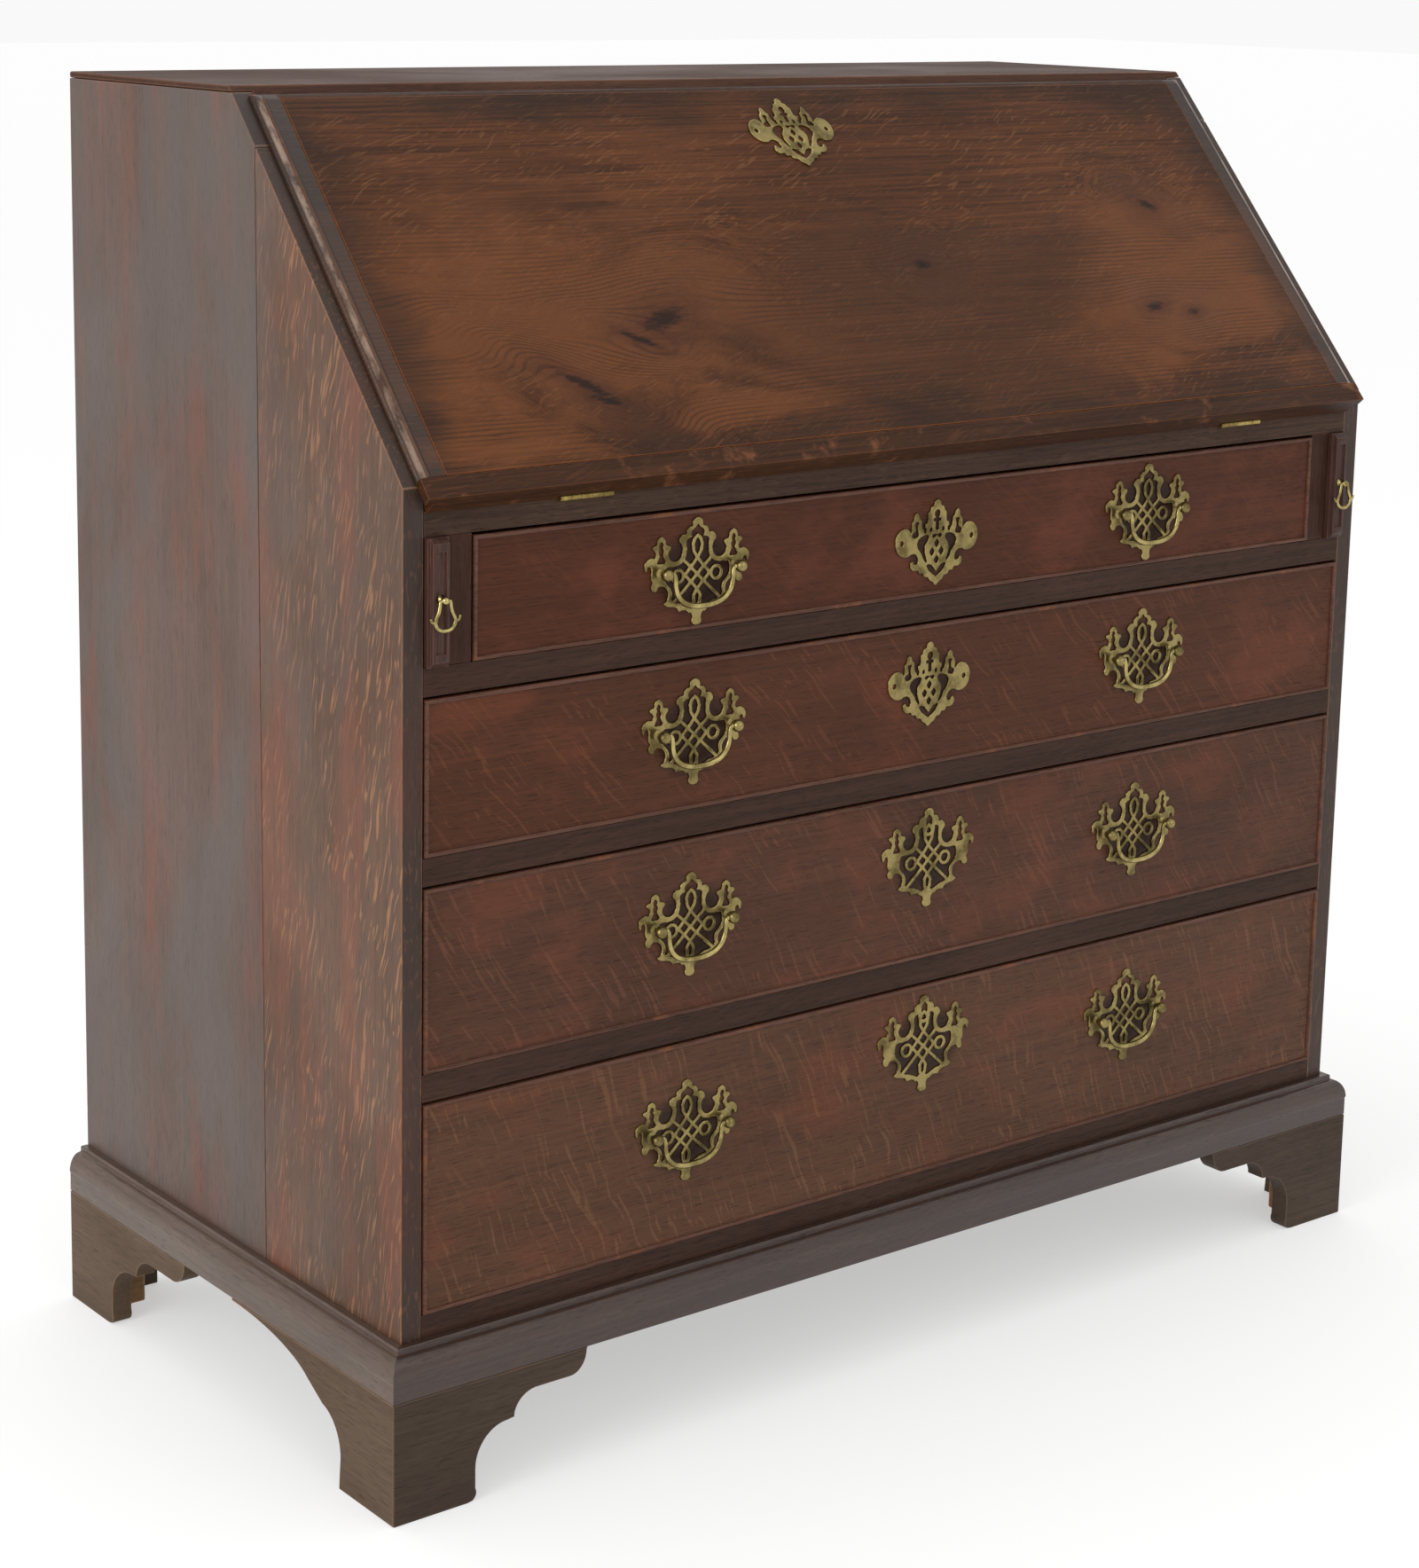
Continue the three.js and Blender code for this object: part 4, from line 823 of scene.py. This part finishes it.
def fretted(field, half_width, half_height):
    """A plate cut to a distance field, lying against the plane y = 0. The field is sampled on a grid
    of nodes; each cell that touches metal gets one point, moved onto the outline where the outline
    crosses the cell; four cells round each metal node make a face. The front falls away in a
    quarter round at the edge."""
    step = fret_step * 1000
    xs = np.arange(-half_width - 2 * step, half_width + 3 * step, step)
    zs = np.arange(-half_height - 2 * step, half_height + 3 * step, step)
    at = np.stack(np.meshgrid(xs, zs, indexing="ij"), -1)
    value = field(at)
    metal = value < 0
    total = np.zeros((len(xs) - 1, len(zs) - 1, 2))
    crossings = np.zeros((len(xs) - 1, len(zs) - 1))
    first, second = slice(None, -1), slice(1, None)
    for a, b in (((first, first), (second, first)), ((first, second), (second, second)),
                 ((first, first), (first, second)), ((second, first), (second, second))):
        va, vb = value[a], value[b]
        cross = (va < 0) != (vb < 0)
        share = np.where(cross, va / np.where(cross, va - vb, 1), 0)
        total += np.where(cross[..., None], at[a] + share[..., None] * (at[b] - at[a]), 0)
        crossings += cross
    centre = (at[:-1, :-1] + at[1:, 1:]) / 2
    spot = np.where(crossings[..., None] > 0, total / np.maximum(crossings, 1)[..., None], centre)
    depth = -(value[:-1, :-1] + value[1:, :-1] + value[:-1, 1:] + value[1:, 1:]) / 4
    depth = np.where(crossings > 0, 0, np.maximum(depth, 0))
    r = plate_round * 1000
    fall = r - np.sqrt(np.maximum(r * r - (r - np.minimum(depth, r)) ** 2, 0))
    i, j = np.nonzero(metal)
    corners = [(i - 1, j - 1), (i, j - 1), (i, j), (i - 1, j)]
    wide = len(zs) - 1
    quads = np.stack([a * wide + b for a, b in corners], 1)
    walls = []
    for (di, dj), (p, q) in (((0, -1), (0, 1)), ((1, 0), (1, 2)), ((0, 1), (2, 3)), ((-1, 0), (3, 0))):
        edge = ~metal[i + di, j + dj]
        a, b = quads[edge, p], quads[edge, q]
        walls.append(np.stack([b, a, a, b], 1))
    walls = np.concatenate(walls)
    used = np.unique(quads)
    index = np.full((len(xs) - 1) * wide, -1)
    index[used] = np.arange(len(used))
    flat, heights = spot.reshape(-1, 2)[used] / 1000, fall.reshape(-1)[used] / 1000
    front = np.stack([flat[:, 0], -plate_back - plate_thick + heights, flat[:, 1]], 1)
    back = np.stack([flat[:, 0], np.full(len(flat), -plate_back), flat[:, 1]], 1)
    quads, walls = index[quads], index[walls]
    walls[:, 2:] += len(used)
    faces = np.concatenate([quads, quads[:, ::-1] + len(used), walls])
    return np.concatenate([front, back]), faces.tolist()


def hung(plate, place, turn=0.0):
    """A plate turned about X and moved to its place."""
    lean = np.array([[1, 0, 0], [0, math.cos(turn), -math.sin(turn)], [0, math.sin(turn), math.cos(turn)]])
    return (plate[0] @ lean.T + np.array(place)).tolist(), [], plate[1]


handle_plate = fretted(lambda at: handle_field(at, False), 50, 41.5)
blind_plate = fretted(lambda at: handle_field(at, True), 50, 41.5)
lock_plate = fretted(lock_field, 44, 35)


def middle_of(node):
    low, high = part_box(node)
    return (low + high) / 2


def tube_skin(rows, sides):
    """The four-cornered faces between neighbouring rings of points, ring after ring."""
    row, column = np.meshgrid(np.arange(rows - 1), np.arange(sides), indexing="ij")
    beside = (column + 1) % sides
    return np.stack([row * sides + column, row * sides + beside, (row + 1) * sides + beside,
                     (row + 1) * sides + column], -1).reshape(-1, 4)


def solid_of_turning(outline, place, axis=(0, -1, 0), sides=20):
    """A (distance along the axis, radius) outline spun round the axis, its ends closed at a point."""
    outline = np.array(outline, float)
    axis = np.array(axis, float)
    side = np.cross(axis, (0, 0, 1)) if abs(axis[2]) < 0.9 else np.array((1.0, 0, 0))
    side /= np.linalg.norm(side)
    other = np.cross(axis, side)
    turn = np.linspace(0, 2 * math.pi, sides, endpoint=False)
    ring = np.cos(turn)[:, None] * side + np.sin(turn)[:, None] * other
    body = outline[1:-1]
    points = np.array(place) + body[:, :1, None] * axis + body[:, 1:, None] * ring
    tips = [np.array(place) + outline[0, 0] * axis, np.array(place) + outline[-1, 0] * axis]
    rows = len(body)
    skin = tube_skin(rows, sides).tolist()
    count = rows * sides
    caps = [[count, (k + 1) % sides, k] for k in range(sides)]
    last = count - sides
    caps += [[count + 1, last + k, last + (k + 1) % sides] for k in range(sides)]
    return np.concatenate([points.reshape(-1, 3), tips]).tolist(), [], skin + caps


def gathered(*solids):
    """Several closed solids listed as one mesh."""
    points, faces = [], []
    for solid_points, _, solid_faces in solids:
        faces += [[corner + len(points) for corner in face] for face in solid_faces]
        points += list(solid_points)
    return points, [], faces


post_apart, post_up, post_out, ball = 0.0704, 0.0016, 0.010, 0.005


def post_outline():
    """Flared foot on the plate, waisted stem and a ball, from the wood outwards."""
    turn = np.linspace(0.32 * math.pi / 2, math.pi, 11)
    head = np.stack([post_out - ball * np.cos(turn), ball * np.sin(turn)], 1)
    foot = [(0.0009, 0), (0.0009, 0.0040), (0.0019, 0.0040), (0.0026, 0.0030), (0.0036, 0.0021)]
    return foot + head.tolist()


pin_outline = [(0.0010, 0), (0.0010, 0.0013), (0.0019, 0.0013), (0.0023, 0.0008), (0.0025, 0)]
for number in range(1, 5):
    for word in ("left", "right"):
        plate_name = f"drawer_{number}_{word}_plate"
        low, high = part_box(plate_name)
        x, z = (low.x + high.x) / 2, (low.z + high.z) / 2
        posts = [solid_of_turning(post_outline(), (x + hand * post_apart / 2, front_plane, z + post_up))
                 for hand in (-1, 1)]
        plate = hung(handle_plate, (x, front_plane, z))
        finished(plate_name + "_fret", gathered(plate, *posts), [plate_brass], f"drawer_{number}",
                 0, (plate_name,), sharp=50)
    plate_name = f"drawer_{number}_centre_plate"
    place = middle_of(plate_name)
    if number < 3:
        fret = hung(lock_plate, (place.x, front_plane, place.z))
        pins = [(-41, 3.0), (41.4, 3.0), (0, -29.6)]
    else:
        fret = hung(blind_plate, (place.x, front_plane, place.z))
        pins = [(-34.6, 0.0), (34.6, 0.0), (-2.0, 38.4)]
    nails = [solid_of_turning(pin_outline, (place.x + x / 1000, front_plane, place.z + z / 1000), sides=10)
             for x, z in pins]
    finished(plate_name + "_fret", gathered(fret, *nails), [plate_brass], f"drawer_{number}", 0,
             (plate_name,), sharp=50)

fall_plate = middle_of("fall_escutcheon")
out_of_fall = np.array([0, -math.sin(fall_slope), math.cos(fall_slope)])
lift = plate_thick / 2 + plate_back
fret = hung(lock_plate, np.array(fall_plate) - out_of_fall * lift, fall_slope - math.pi / 2)
finished("fall_escutcheon_fret", fret, [plate_brass], "fall", 0, ("fall_escutcheon",), sharp=50)

# ---------------------------------------------------------------- bails
# Cast handles that hang from the balls: thick at the bottom, thinner and turned in at the ends.
def bent_rod(path, radii, sides=12):
    """A round section of changing radius carried along a curved path, with frames that turn as
    little as they can, and closed by a flat fan at each end."""
    path, radii = np.array(path, float), np.array(radii, float)
    tangent = np.gradient(path, axis=0)
    tangent /= np.linalg.norm(tangent, axis=1)[:, None]
    side = np.cross(tangent, (0, 1, 0))
    side /= np.linalg.norm(side, axis=1)[:, None]
    other = np.cross(side, tangent)
    turn = np.linspace(0, 2 * math.pi, sides, endpoint=False)
    ring = np.cos(turn)[:, None, None] * side + np.sin(turn)[:, None, None] * other
    points = (path + radii[:, None] * ring).transpose(1, 0, 2)
    rows = len(path)
    skin = tube_skin(rows, sides)[:, ::-1].tolist()
    ends = [list(range(sides)), [(rows - 1) * sides + k for k in range(sides)][::-1]]
    return points.reshape(-1, 3).tolist(), [], skin + ends


def through(points, count):
    """Evenly spread places on the open Catmull-Rom curve through the points."""
    p = np.array(points, float)
    p = np.concatenate([2 * p[:1] - p[1:2], p, 2 * p[-1:] - p[-2:-1]])
    t = np.linspace(0, len(points) - 1 - 1e-9, count)
    k = t.astype(int)
    t = (t - k)[:, None]
    a, b, c, d = p[k], p[k + 1], p[k + 2], p[k + 3]
    return 0.5 * (2 * b + (c - a) * t + (2 * a - 5 * b + 4 * c - d) * t ** 2
                  + (3 * b - a - 3 * c + d) * t ** 3)


rod_half = 0.0012


def hanging_place(node):
    """The middle of a CAD handle near its top edge, where its rod passes through the posts."""
    low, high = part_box(node)
    return np.array([(low.x + high.x) / 2, (low.y + high.y) / 2, high.z - rod_half])


def hung_line(hang, flat):
    """An (x, z) line in millimetres set upright at a place in metres."""
    return hang + np.stack([flat[:, 0], np.zeros(len(flat)), flat[:, 1]], 1) / 1000


bail_half = [(31.0, 0.0), (28.6, -0.6), (27.4, -5.0), (27.0, -11.0), (24.6, -17.6), (18.6, -23.4),
             (9.6, -26.4)]
for number in range(1, 5):
    for word in ("left", "right"):
        bail_name = f"drawer_{number}_{word}_bail"
        outline = bail_half + [(0, -27.0)] + [(-x, z) for x, z in bail_half[::-1]]
        path = hung_line(hanging_place(bail_name), through(outline, 60))
        share = np.abs(np.linspace(-1, 1, len(path)))
        radii = 0.0023 - 0.0009 * share ** 2 + 0.0004 * np.exp(-((share - 0.93) / 0.04) ** 2)
        finished(bail_name + "_bow", bent_rod(path, radii), [bail_brass], bail_name, 0,
                 (bail_name,), sharp=60)

# ---------------------------------------------------------------- loper pulls
# A small drop on a ball post: two arms spread from the ball and close in a ring, with a curled
# wing on each side.
loper_face, knob_radius = 0.0062, 0.0030
for word in ("left", "right"):
    pull_name = f"{word}_loper_pull"
    hang = hanging_place(pull_name)
    half = [(2.5, 0.0), (4.2, -0.5), (4.7, -3.4), (5.6, -8.0), (7.8, -12.4), (8.4, -15.6), (6.8, -19.0),
            (3.6, -21.2)]
    outline = half + [(0, -21.6)] + [(-x, z) for x, z in half[::-1]]
    path = hung_line(hang, through(outline, 50))
    share = np.abs(np.linspace(-1, 1, len(path)))
    rods = [bent_rod(path, 0.00150 - 0.0004 * share ** 3)]
    for hand in (-1, 1):
        wing = through([(7.2, -13.4), (9.6, -15.0), (11.6, -14.0), (12.6, -11.4)], 12) * (hand, 1)
        rods.append(bent_rod(hung_line(hang, wing), np.linspace(0.0014, 0.0010, len(wing))))
    finished(pull_name + "_drop", gathered(*rods), [bail_brass], pull_name, 0,
             (pull_name,), sharp=60)
    ball_place = (hang[0], front_plane - loper_face, hang[2])
    stand = front_plane - loper_face - hang[1]
    cup = [(0, 0), (0, 0.0036), (0.0008, 0.0036), (0.0020, 0.0018)]
    turn = np.linspace(0.5, math.pi, 11)
    knob = np.stack([stand - knob_radius * np.cos(turn), knob_radius * np.sin(turn)], 1).tolist()
    finished(f"{word}_loper_ball", solid_of_turning(cup + knob, ball_place), [bail_brass], f"{word}_loper",
             0, sharp=60)

# ---------------------------------------------------------------- hinges
# Two brass butts with five-barrel knuckles under the edge of the fall.
hinge_brass = brass("hinge_brass", tone(176, 154, 92), tone(120, 102, 58), 0.36)
for word in ("left", "right"):
    board(f"{word}_hinge_on_board", f"{word}_hinge_board_leaf", [hinge_brass], "carcass", 0)
    board(f"{word}_hinge_on_fall", f"{word}_hinge_fall_leaf", [hinge_brass], "fall", 0)

# ---------------------------------------------------------------- pigeonholes and letter drawers
# A light nest of seven pigeonholes over two letter drawers, in paler oak that the fall keeps clean.
nest_oak = edged("nest_oak", GRAIN_ACROSS, tone(112, 80, 52), tone(150, 112, 76), tone(168, 130, 92),
                 rays=0.3, seed=21.0, gloss=0.46)
board("pigeonhole_nest", "pigeonhole_unit", nest_oak, "carcass", 0.0007)
for word in ("left", "right"):
    board(f"{word}_letter_drawer_case", f"{word}_letter_drawer", nest_oak, f"{word}_letter_drawer",
          0.0006)
